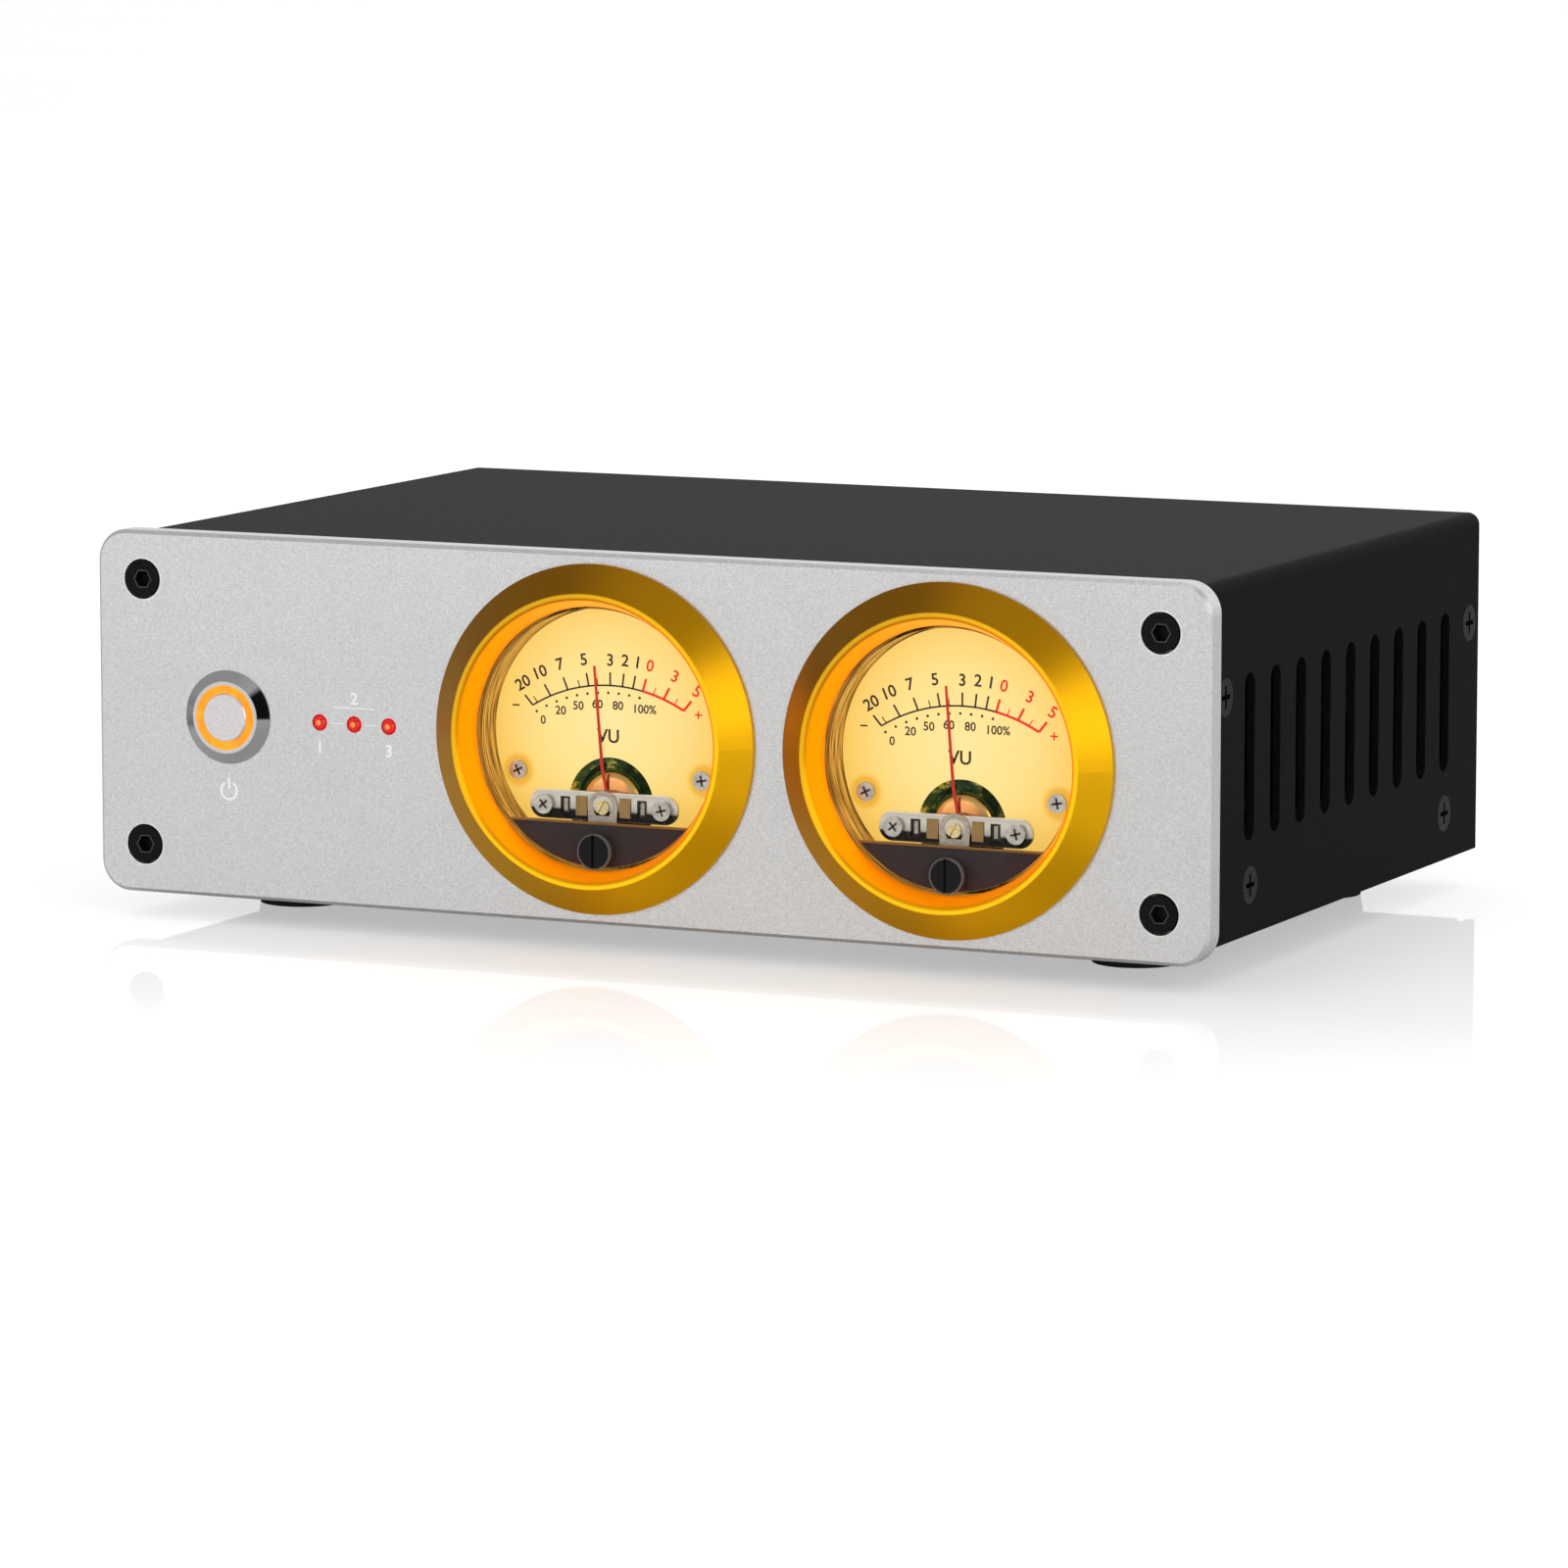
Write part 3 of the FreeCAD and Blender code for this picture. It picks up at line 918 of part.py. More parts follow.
def zero_arm(meter_x):
    """Flat arm that turns on the front jewel's bush, with a fork round the adjuster's pin."""
    pin_z = ZERO_SCREW_Z - ZERO_PIN_OFFSET
    fork_bottom = pin_z - ZERO_FORK_END
    fork_top = ZERO_SCREW_Z
    ring = rod(ZERO_ARM_RING_RADIUS, ZERO_ARM_FRONT_Y, ZERO_ARM_BACK_Y, meter_x, PIVOT_Z)
    tail = block(meter_x - ZERO_ARM_HALF_WIDTH, meter_x + ZERO_ARM_HALF_WIDTH, ZERO_ARM_FRONT_Y,
                 ZERO_ARM_BACK_Y, fork_top, PIVOT_Z)
    fork = block(meter_x - ZERO_FORK_HALF_WIDTH, meter_x + ZERO_FORK_HALF_WIDTH, ZERO_ARM_FRONT_Y,
                 ZERO_ARM_BACK_Y, fork_bottom, fork_top)
    gap = ZERO_PIN_RADIUS + ZERO_PIN_CLEARANCE
    slot = block(meter_x - gap, meter_x + gap, ZERO_ARM_FRONT_Y, ZERO_ARM_BACK_Y, fork_bottom,
                 pin_z + ZERO_PIN_RADIUS + ZERO_PIN_OFFSET / 2)
    bore = rod(JEWEL_SCREW_RADIUS + ZERO_STEM_CLEARANCE, ZERO_ARM_FRONT_Y, ZERO_ARM_BACK_Y, meter_x, PIVOT_Z)
    return ring.fuse([tail, fork]).cut([slot, bore]).removeSplitter()


def lamp_board(meter_x):
    """Round board on the back of the housing, with two lamps that reach in behind the dial."""
    z = PANEL_MIDDLE_Z
    board = rod(LAMP_BOARD_RADIUS, HOUSING_END_Y, HOUSING_END_Y + LAMP_BOARD_THICKNESS, meter_x, z)
    lamps = [rod(LAMP_RADIUS, HOUSING_END_Y - LAMP_LENGTH, HOUSING_END_Y, x, lamp_z)
             for x, lamp_z in lamp_places(meter_x)]
    return Part.makeCompound([board] + lamps)


def switch_body():
    """Chromed bush with a bevelled head, a bore for the lit ring and terminals at the back."""
    z = PANEL_MIDDLE_Z
    front = FACE_Y - SWITCH_PROUD
    back = FACE_Y + SWITCH_BODY_LENGTH
    edges = straight_edges([(SWITCH_BORE_RADIUS, front), (SWITCH_RIM_RADIUS, front),
                            (SWITCH_HEAD_RADIUS, FACE_Y - SWITCH_EDGE_HEIGHT), (SWITCH_HEAD_RADIUS, FACE_Y),
                            (SWITCH_THREAD_RADIUS, FACE_Y), (SWITCH_THREAD_RADIUS, back), (0, back),
                            (0, front + SWITCH_BORE_DEPTH), (SWITCH_BORE_RADIUS, front + SWITCH_BORE_DEPTH),
                            (SWITCH_BORE_RADIUS, front)])
    body = turned(edges, SWITCH_X, z)
    half = SWITCH_TERMINAL_SPACING / 2
    terminals_end = back + SWITCH_TERMINAL_LENGTH
    terminals = [rod(SWITCH_TERMINAL_RADIUS, back, terminals_end, SWITCH_X + sx * half, z + sz * half)
                 for sx in SIDES for sz in SIDES]
    return body.fuse(terminals)


def switch_light_ring():
    front = FACE_Y - SWITCH_PROUD
    bore = SWITCH_CAP_RADIUS + SWITCH_RUNNING_CLEARANCE
    return tube(SWITCH_BORE_RADIUS, bore, front, front + SWITCH_BORE_DEPTH, SWITCH_X, PANEL_MIDDLE_Z)


def switch_cap():
    front = FACE_Y - SWITCH_PROUD - SWITCH_CAP_PROUD
    cap = rod(SWITCH_CAP_RADIUS, front, front + SWITCH_CAP_LENGTH, SWITCH_X, PANEL_MIDDLE_Z)
    rim = [e for e in cap.Edges if e.BoundBox.YMax < front + SWITCH_CAP_EDGE]
    return cap.makeChamfer(SWITCH_CAP_EDGE, rim)


def switch_nut():
    back = SUBPANEL_BACK_Y + SWITCH_NUT_THICKNESS
    nut = hexagon(SWITCH_NUT_WIDTH, SUBPANEL_BACK_Y, back, SWITCH_X, PANEL_MIDDLE_Z)
    return nut.cut(rod(SWITCH_THREAD_RADIUS, SUBPANEL_BACK_Y, back, SWITCH_X, PANEL_MIDDLE_Z))


def indicator_leds():
    """Round-nosed lamps in the panel, with a flange behind it and legs to their board."""
    lamps = []
    board_y = PANEL_BACK_Y + INDICATOR_BOARD_FROM_PANEL
    for x in INDICATOR_X:
        z = PANEL_MIDDLE_Z
        nose_y = FACE_Y - INDICATOR_PROUD + INDICATOR_RADIUS
        flange_back = SUBPANEL_BACK_Y + INDICATOR_FLANGE_LENGTH
        nose = Part.makeSphere(INDICATOR_RADIUS, Vector(x, nose_y, z))
        pieces = [rod(INDICATOR_RADIUS, nose_y, SUBPANEL_BACK_Y, x, z),
                  rod(INDICATOR_FLANGE_RADIUS, SUBPANEL_BACK_Y, flange_back, x, z),
                  rod(INDICATOR_LEG_RADIUS, flange_back, board_y, x, z)]
        lamps.append(nose.fuse(pieces).removeSplitter())
    return Part.makeCompound(lamps)


def indicator_board():
    board_y = PANEL_BACK_Y + INDICATOR_BOARD_FROM_PANEL
    middle = INDICATOR_X[1]
    half_width = INDICATOR_BOARD_WIDTH / 2
    half_height = INDICATOR_BOARD_HEIGHT / 2
    return block(middle - half_width, middle + half_width, board_y, board_y + BOARD_THICKNESS,
                 PANEL_MIDDLE_Z - half_height, PANEL_MIDDLE_Z + half_height)


def indicator_spacers():
    board_y = PANEL_BACK_Y + INDICATOR_BOARD_FROM_PANEL
    return Part.makeCompound([rod(INDICATOR_SPACER_RADIUS, SUBPANEL_BACK_Y, board_y, INDICATOR_X[1],
                                  PANEL_MIDDLE_Z + side * INDICATOR_SPACER_FROM_MIDDLE)
                              for side in SIDES])


def board_limits():
    back = REAR_FRONT_Y - BOARD_FROM_BACK
    return -BOARD_WIDTH / 2, BOARD_WIDTH / 2, back - BOARD_DEPTH, back


def main_board():
    """Circuit board with its driver chips and storage capacitors."""
    x_low, x_high, y_low, y_high = board_limits()
    low = FLOOR_TOP_Z + BOARD_STANDOFF_HEIGHT
    top = low + BOARD_THICKNESS
    pieces = [block(x_low, x_high, y_low, y_high, low, top)]
    middle_y = (y_low + y_high) / 2
    for side in SIDES:
        x = side * CHIP_PITCH / 2
        pieces.append(block(x - CHIP_LENGTH / 2, x + CHIP_LENGTH / 2, middle_y, middle_y + CHIP_WIDTH, top,
                            top + CHIP_HEIGHT))
        for i in (1, 2):
            place = Vector(side * (CHIP_PITCH + i * CAPACITOR_PITCH), middle_y, top)
            pieces.append(Part.makeCylinder(CAPACITOR_RADIUS, CAPACITOR_HEIGHT, place, UPWARD))
    return Part.makeCompound(pieces)


def board_standoffs():
    x_low, x_high, y_low, y_high = board_limits()
    inset = BOARD_STANDOFF_INSET
    places = [Vector(x, y, FLOOR_TOP_Z) for x in (x_low + inset, x_high - inset)
              for y in (y_low + inset, y_high - inset)]
    return Part.makeCompound([Part.makeCylinder(BOARD_STANDOFF_RADIUS, BOARD_STANDOFF_HEIGHT, place, UPWARD)
                              for place in places])


def rca_shells():
    """Metal outer contacts of the phono sockets, with a flange outside and a thread inside."""
    shells = []
    for x in RCA_X:
        mouth = CASE_BACK_Y + RCA_PROUD
        pieces = [rod(RCA_SHELL_RADIUS, CASE_BACK_Y, mouth, x, SOCKET_Z),
                  rod(RCA_FLANGE_RADIUS, CASE_BACK_Y, CASE_BACK_Y + RCA_FLANGE_THICKNESS, x, SOCKET_Z)]
        thread = rod(RCA_THREAD_RADIUS, REAR_FRONT_Y - RCA_INNER_LENGTH, CASE_BACK_Y, x, SOCKET_Z)
        hollow = rod(RCA_INSERT_RADIUS, REAR_FRONT_Y - RCA_INNER_LENGTH, mouth, x, SOCKET_Z)
        shells.append(thread.fuse(pieces).cut(hollow).removeSplitter())
    return Part.makeCompound(shells)


def rca_inserts():
    """Insulators inside the phono sockets, each with its centre hole."""
    mouth = CASE_BACK_Y + RCA_PROUD
    inserts = []
    for x in RCA_X:
        insert = rod(RCA_INSERT_RADIUS, REAR_FRONT_Y - RCA_INNER_LENGTH, mouth, x, SOCKET_Z)
        inserts.append(insert.cut(rod(RCA_BORE_RADIUS, mouth - RCA_BORE_DEPTH, mouth, x, SOCKET_Z)))
    return Part.makeCompound(inserts)


def rca_nuts():
    front = REAR_FRONT_Y - RCA_NUT_THICKNESS
    return Part.makeCompound([hexagon(RCA_NUT_WIDTH, front, REAR_FRONT_Y, x, SOCKET_Z).cut(
        rod(RCA_THREAD_RADIUS, front, REAR_FRONT_Y, x, SOCKET_Z)) for x in RCA_X])


def dc_jack():
    """Round power inlet with a flange outside, a bore for the plug and a centre pin."""
    mouth = CASE_BACK_Y + DC_FLANGE_THICKNESS
    flange = rod(DC_FLANGE_RADIUS, CASE_BACK_Y, mouth, DC_X, SOCKET_Z)
    body = rod(DC_THREAD_RADIUS, CASE_BACK_Y - DC_BODY_LENGTH, CASE_BACK_Y, DC_X, SOCKET_Z)
    bore = rod(DC_BORE_RADIUS, mouth - DC_BORE_DEPTH, mouth, DC_X, SOCKET_Z)
    pin = rod(DC_PIN_RADIUS, mouth - DC_BORE_DEPTH, mouth - DC_PIN_BELOW_MOUTH, DC_X, SOCKET_Z)
    return flange.fuse(body).cut(bore).fuse(pin).removeSplitter()


def dc_nut():
    front = REAR_FRONT_Y - DC_NUT_THICKNESS
    nut = hexagon(DC_NUT_WIDTH, front, REAR_FRONT_Y, DC_X, SOCKET_Z)
    return nut.cut(rod(DC_THREAD_RADIUS, front, REAR_FRONT_Y, DC_X, SOCKET_Z))


SINGLE_PIECES = [front_panel, front_panel_screws, front_panel_nuts, front_subpanel, top_cover, cover_screws,
                 bottom_chassis, rear_panel, rubber_feet, foot_screws, switch_body, switch_light_ring,
                 switch_cap, switch_nut, indicator_leds, indicator_board, indicator_spacers, main_board,
                 board_standoffs, rca_shells, rca_inserts, rca_nuts, dc_jack, dc_nut, housing_screws,
                 dial_screws, bridge_screws, jewel_screws]
METER_PIECES = [bezel, window, mask, housing, dial_plate, bridge, movement_frame, yoke_ring, core_magnet,
                lamp_board, coil, pointer, hairspring, zero_screw, zero_arm]


def export(shape, name):
    shape.exportStep("parts/" + name + ".step")


def build_all():
    for make in SINGLE_PIECES:
        export(make(), make.__name__)
    for make in METER_PIECES:
        for side_name, meter_x in METERS.items():
            export(make(meter_x), make.__name__ + "_" + side_name)


build_all()
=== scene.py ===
import json
import math
import bmesh
import bpy
from mathutils import Matrix, Vector


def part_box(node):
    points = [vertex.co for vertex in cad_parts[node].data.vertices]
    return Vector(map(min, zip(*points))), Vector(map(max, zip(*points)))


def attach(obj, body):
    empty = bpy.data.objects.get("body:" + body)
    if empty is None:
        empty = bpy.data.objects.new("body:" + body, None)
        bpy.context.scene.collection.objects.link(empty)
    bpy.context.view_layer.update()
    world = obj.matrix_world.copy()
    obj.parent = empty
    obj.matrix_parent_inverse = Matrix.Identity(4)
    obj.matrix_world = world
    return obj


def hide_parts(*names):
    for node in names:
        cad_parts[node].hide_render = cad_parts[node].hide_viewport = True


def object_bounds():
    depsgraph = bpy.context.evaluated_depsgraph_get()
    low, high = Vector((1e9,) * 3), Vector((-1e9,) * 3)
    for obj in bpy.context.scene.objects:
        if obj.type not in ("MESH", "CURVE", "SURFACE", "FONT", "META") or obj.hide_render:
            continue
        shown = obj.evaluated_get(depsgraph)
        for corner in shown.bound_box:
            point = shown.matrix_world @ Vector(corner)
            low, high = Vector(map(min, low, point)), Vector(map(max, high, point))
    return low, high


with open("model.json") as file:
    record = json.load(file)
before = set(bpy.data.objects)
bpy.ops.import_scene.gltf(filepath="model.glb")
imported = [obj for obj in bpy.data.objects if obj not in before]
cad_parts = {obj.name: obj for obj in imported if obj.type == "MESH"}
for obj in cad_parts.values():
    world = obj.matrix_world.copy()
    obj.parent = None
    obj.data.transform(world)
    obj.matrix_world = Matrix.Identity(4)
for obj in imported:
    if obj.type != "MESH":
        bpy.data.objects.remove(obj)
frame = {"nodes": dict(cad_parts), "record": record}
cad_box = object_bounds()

# Lengths are in metres, except where a heading says millimetres. MM turns those to metres.
MM = 0.001
SIDES = ("left", "right")
WHOLE_TURN = 2 * math.pi

# Camera: focal length in picture widths, turns in radians, place, and distance from the panel's face
FOCAL_IN_WIDTHS = 4.877
CAMERA_YAW = 0.436
CAMERA_PITCH = 0.137
CAMERA_X = 621.4 * MM
CAMERA_FROM_FACE = 1268.5 * MM
CAMERA_Z = 226.8 * MM
SENSOR_WIDTH = 36.0

# Lights: name, place, the point that it faces, width, height and power in watts
LIGHTS = (("key_right", (1.35, -1.05, 0.45), (0, 0, 0.02), 1.1, 1.1, 5.6),
          ("fill_left", (-0.75, -1.5, 0.30), (0, 0, 0.03), 1.3, 0.9, 4.2),
          ("top_soft", (0.0, -0.1, 1.6), (0, 0, 0.05), 1.0, 1.0, 2.4))

# Floor: half its side, its glow to the camera, and how far from the object its mirror image reaches
FLOOR_REACH = 8.0
FLOOR_GLOW = 0.68
MIRROR_REACH = 0.36
MIRROR_ROUGHNESS = 0.03

# A noise stays mostly between these two values, so a ramp of two stops has them there
GRAIN_LOW = 0.3
GRAIN_HIGH = 0.7
GRAIN_MIDDLE = 0.5

# Zones that the materials paint, in millimetres
DIAL_GLOW_RISE = 3.0
DIAL_GLOW_REACH = 30.0
DIAL_HALO_REACH = 3.6
BUTTON_RIM_RADIUS = 7.0
WINDOW_WALL = 1.02
WINDOW_FRONT = 1.1
BRIDGE_REFLECTION_BAND_HEIGHT = 5.5
COIL_REACH = 6.6
MASK_EDGE = 1.0

# Printed scale, in millimetres and degrees from the needle's pivot on the dial
SCALE_RADIUS = 31.3
SCALE_CENTRE_BELOW = 8.7
SCALE_LINE = 0.34
SCALE_STEPS = 24
RED_LINE = 0.5
RED_STEPS = 12
TICK_LONG = 2.5
TICK_SHORT = 1.4
BLACK_TICKS = (-42.0, -32.0, -22.6, -11.4, 0.0, 6.5, 12.0)
BLACK_SHORT_TICKS = (-39.3, -16.2, -6.7)
RED_TICKS = (17.2, 28.4, 39.4)
RED_SHORT_TICKS = (22.8, 34.1)
TICK_LINE = 0.38
SHORT_TICK_LINE = 0.22
NUMERAL_HEIGHT = 2.2
NUMERAL_RADIUS = 27.3
NUMERAL_SPREAD = 1.4
NUMERAL_END = 40.0
NUMERALS = (("20", -39.6), ("10", -31.4), ("7", -22.1), ("5", -11.5), ("3", 0.0), ("2", 6.5), ("1", 11.9))
RED_NUMERALS = (("0", 17.3), ("3", 28.4), ("5", 38.9))
DOT_RADIUS = 0.27
DOT_STEPS = 12
DOT_DROP = 1.4
DOT_COUNT = 11
DOT_FIRST = -42.4
DOT_PITCH = 5.9
PERCENT_HEIGHT = 1.6
PERCENT_PLACES = {"0": (-14.1, 15.3), "20": (-10.4, 17.3), "50": (-6.7, 18.4), "60": (-2.7, 18.9),
                  "80": (1.6, 18.8), "100%": (7.1, 18.4)}
UNIT_PLACE = (-0.4, 12.9)
UNIT_HEIGHT = 2.5
MINUS_PLACE = (-19.8, 17.9)
PLUS_PLACE = (18.3, 18.0)
SIGN_LENGTH = 1.5
SIGN_LINE = 0.3
PRINT_PROUD = 0.02
PRINT_THICKNESS = 0.02

# Lettering: a numeral's height and the strokes' added weight as shares of the type size, and curve steps
NUMERAL_SHARE = 0.7
LETTER_WEIGHT = 0.018
LETTER_STEPS = 4

# Small screws of the movement, in millimetres from its middle, with the turns of their crosses in degrees
DIAL_SCREW_X = 19.2
DIAL_CROSS_TURNS = (25, 10)
BRIDGE_SCREW_X = 12.3
BRIDGE_CROSS_TURNS = (40, 15)
CROSS_LENGTH = 2.1
CROSS_LINE = 0.42
CROSS_PROUD = 0.03

# Plate on the bridge's boss, in millimetres from the pivot
BOSS_RADIUS = 3.1
BOSS_STEPS = 24
BOSS_TAB_HALF_WIDTH = 2.9
BOSS_TAB_DROP = 3.4
BOSS_HOLE_RADIUS = 2.15
BOSS_PROUD = 0.12

# Blocks beside the boss and inserts in the bridge's slots, in millimetres from the pivot and the face
BLOCK_BEHIND_FACE = 0.4
BLOCK_X = 4.55
BLOCK_WIDTH = 2.3
BLOCK_HEIGHT = 3.7
BLOCK_RISE = 0.25
INSERT_X = 8.0
# A slot's dark back is a thin sheet of painted shade.
SLOT_SHADE_BEHIND_FACE = 1.15
SLOT_SHADE_WIDTH = 2.2
SLOT_SHADE_HEIGHT = 3.4
SLOT_SHADE_RISE = 0.1
PEG_BEHIND_FACE = 1.05
PEG_WIDTH = 0.75
PEG_HEIGHT = 2.3
PEG_RISE = 0.4

# Needle, in millimetres from the pivot, and its turn at rest in degrees
NEEDLE_TURN = -4.7
NEEDLE_OFFSET = 0.85
NEEDLE_BEND = 7.2
NEEDLE_LENGTH = 26.4
NEEDLE_WIDTH = 0.56
NEEDLE_TIP_WIDTH = 0.4
NEEDLE_THICKNESS = 0.3
NEEDLE_HUB_RADIUS = 1.6
NEEDLE_HUB_STEPS = 24
BALANCE_ARM = 4.6
BALANCE_RADIUS = 0.8
BALANCE_STEPS = 16

# Copper dome before the coil, in millimetres
DOME_RADIUS = 6.2
DOME_DEPTH = 1.3
DOME_BEHIND_DIAL = -0.42
DOME_RINGS = 8
DOME_STEPS = 48

# Marks on the panel, in millimetres, with the opening of the power sign in degrees
MARK_PROUD = 0.02
POWER_LINE = 0.42
POWER_RADIUS = 1.9
POWER_BELOW = 14.2
POWER_OPENING = 32
POWER_STEPS = 28
POWER_BAR_RISE_SHARE = 0.75
POWER_BAR_LENGTH_SHARE = 1.1
LABEL_HEIGHT = 2.2
LABEL_DROP = 4.8
LABEL_GAP = 2.3
LABEL_LINE = 0.12
UPPER_LINE_RISE = 3.1
UPPER_LINE_LENGTH = 9.0
UPPER_LINE = 0.14

# Painted highlight rims round the panel's screws and glint lines round their hexagon sockets, in millimetres
RIM_LINE = 0.3
RIM_OUTSIDE_HEAD = 0.4
RIM_STEPS = 40
SCREW_HEAD_RADIUS = 3.5
SOCKET_WIDTH = 3.0
SOCKET_LINE = 0.22
SOCKET_SIDES = 6


# Places that the solids give

def middle_of(name):
    """Middle of a node's box, in X and Z."""
    low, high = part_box(name)
    return (low.x + high.x) / 2, (low.z + high.z) / 2


def half_width_of(name):
    low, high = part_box(name)
    return (high.x - low.x) / 2


def front_of(name):
    """The node's foremost place in Y."""
    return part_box(name)[0].y


def pivot_of(side):
    """The needle's pivot, in X and Z."""
    return middle_of("yoke_ring_" + side)


# Nodes of a shader

def new_material(name):
    material = bpy.data.materials.new(name)
    material.use_nodes = True
    tree = material.node_tree
    return material, tree, tree.nodes["Principled BSDF"]


def set_shader(shader, **values):
    for name, value in values.items():
        shader.inputs[name.replace("_", " ")].default_value = value


def add(tree, kind, **settings):
    node = tree.nodes.new(kind)
    for name, value in settings.items():
        setattr(node, name, value)
    return node


def feed(tree, socket, value):
    """Gives a socket a number or a colour, or links it to another node's output."""
    if isinstance(value, (int, float, tuple)):
        socket.default_value = value
    else:
        tree.links.new(value, socket)


def place_vector(tree, stretch=(1, 1, 1), shift=(0, 0, 0)):
    """Object coordinates, which are the frame's metres, stretched and shifted along each axis."""
    coordinates = add(tree, "ShaderNodeTexCoord")
    mapping = add(tree, "ShaderNodeMapping")
    mapping.inputs["Scale"].default_value = stretch
    mapping.inputs["Location"].default_value = shift
    tree.links.new(coordinates.outputs["Object"], mapping.inputs["Vector"])
    return mapping.outputs["Vector"]


def place_parts(tree):
    """The place's X, Y and Z apart."""
    split = add(tree, "ShaderNodeSeparateXYZ")
    tree.links.new(place_vector(tree), split.inputs["Vector"])
    return split.outputs


def noise(tree, scale, stretch=(1, 1, 1), detail=2.0, roughness=0.5):
    texture = add(tree, "ShaderNodeTexNoise")
    texture.inputs["Scale"].default_value = scale
    texture.inputs["Detail"].default_value = detail
    texture.inputs["Roughness"].default_value = roughness
    tree.links.new(place_vector(tree, stretch), texture.inputs["Vector"])
    return texture.outputs["Fac"]


def ramp(tree, value, stops):
    node = add(tree, "ShaderNodeValToRGB")
    elements = node.color_ramp.elements
    while len(elements) < len(stops):
        elements.new(0.5)
    for element, (position, colour) in zip(elements, stops):
        element.position = position
        element.color = colour
    tree.links.new(value, node.inputs["Fac"])
    return node.outputs["Color"]


def grained(tree, level, first, second):
    """Goes from the first colour to the second as a noise rises."""
    return ramp(tree, level, [(GRAIN_LOW, first), (GRAIN_HIGH, second)])


def grey(level):
    return (level, level, level, 1)


def shade(colour, factor):
    """The colour made darker or lighter, with its alpha."""
    return tuple(min(1, channel * factor) for channel in colour) + (1,)


def maths(tree, operation, *values):
    node = add(tree, "ShaderNodeMath", operation=operation)
    for socket, value in zip(node.inputs, values):
        feed(tree, socket, value)
    return node.outputs[0]


def pushed(tree, share, level, amount):
    """The share, moved on by an amount of a texture, so that no edge is ruled."""
    return maths(tree, "ADD", share, maths(tree, "MULTIPLY", level, amount))


def wavered(tree, share, level, amount):
    """The share, moved either way by a noise."""
    return pushed(tree, share, maths(tree, "SUBTRACT", level, GRAIN_MIDDLE), amount)


def length_of(tree, across, upwards):
    """Length of a line from its two parts."""
    square = maths(tree, "ADD", maths(tree, "MULTIPLY", across, across),
                   maths(tree, "MULTIPLY", upwards, upwards))
    return maths(tree, "SQRT", square)


def radius_about(tree, x, z):
    """Distance from the axis along Y through x and z, and the parts of the place."""
    parts = place_parts(tree)
    across = maths(tree, "SUBTRACT", parts["X"], x)
    upwards = maths(tree, "SUBTRACT", parts["Z"], z)
    return length_of(tree, across, upwards), parts


def turn_about(tree, parts, x, z):
    """Angle about the axis along Y through x and z, from 0 to 1 for a whole turn."""
    angle = maths(tree, "ARCTAN2", maths(tree, "SUBTRACT", parts["Z"], z),
                  maths(tree, "SUBTRACT", parts["X"], x))
    return maths(tree, "ADD", maths(tree, "DIVIDE", angle, WHOLE_TURN), 0.5)


def mix_colours(tree, share, first, second, blend="MIX"):
    node = add(tree, "ShaderNodeMix", data_type="RGBA", blend_type=blend)
    feed(tree, node.inputs["Factor"], share)
    feed(tree, node.inputs["A"], first)
    feed(tree, node.inputs["B"], second)
    return node.outputs["Result"]


def mix_shaders(tree, share, first, second):
    node = add(tree, "ShaderNodeMixShader")
    for socket, value in zip(node.inputs, (share, first, second)):
        tree.links.new(value, socket)
    return node.outputs["Shader"]


def set_surface(tree, shader_output):
    tree.links.new(shader_output, tree.nodes["Material Output"].inputs["Surface"])


def bump(tree, shader, height, strength, distance):
    """Relief whose depth is given in millimetres."""
    node = add(tree, "ShaderNodeBump")
    node.inputs["Strength"].default_value = strength
    node.inputs["Distance"].default_value = distance * MM
    tree.links.new(height, node.inputs["Height"])
    tree.links.new(node.outputs["Normal"], shader.inputs["Normal"])


# Materials of any metal, plastic or ink

def plain_metal(name, colour, roughness, grain_scale=700, spread=0.06):
    material, tree, shader = new_material(name)
    level = noise(tree, grain_scale)
    feed(tree, shader.inputs["Base Color"], grained(tree, level, shade(colour, 0.88), shade(colour, 1.08)))
    feed(tree, shader.inputs["Roughness"],
         grained(tree, level, grey(roughness - spread), grey(roughness + spread)))
    set_shader(shader, Metallic=1.0)
    bump(tree, shader, level, strength=0.15, distance=0.01)
    return material


def plain_plastic(name, colour, roughness, grain_scale=1500, depth=0.02, **shine):
    material, tree, shader = new_material(name)
    level = noise(tree, grain_scale, detail=3)
    feed(tree, shader.inputs["Base Color"], grained(tree, level, shade(colour, 0.8), shade(colour, 1.2)))
    set_shader(shader, Roughness=roughness, **shine)
    bump(tree, shader, level, strength=0.3, distance=depth)
    return material


def ink(name, colour, glow=0.0):
    """Matt ink. With a painted glow it shows its colour in the shade too."""
    material, tree, shader = new_material(name)
    level = noise(tree, 3000)
    feed(tree, shader.inputs["Base Color"], grained(tree, level, shade(colour, 0.85), shade(colour, 1.0)))
    set_shader(shader, Roughness=0.5)
    if glow:
        set_shader(shader, Emission_Color=shade(colour, 1.0), Emission_Strength=glow)
    return material


# Materials of the case, the panel and what it carries

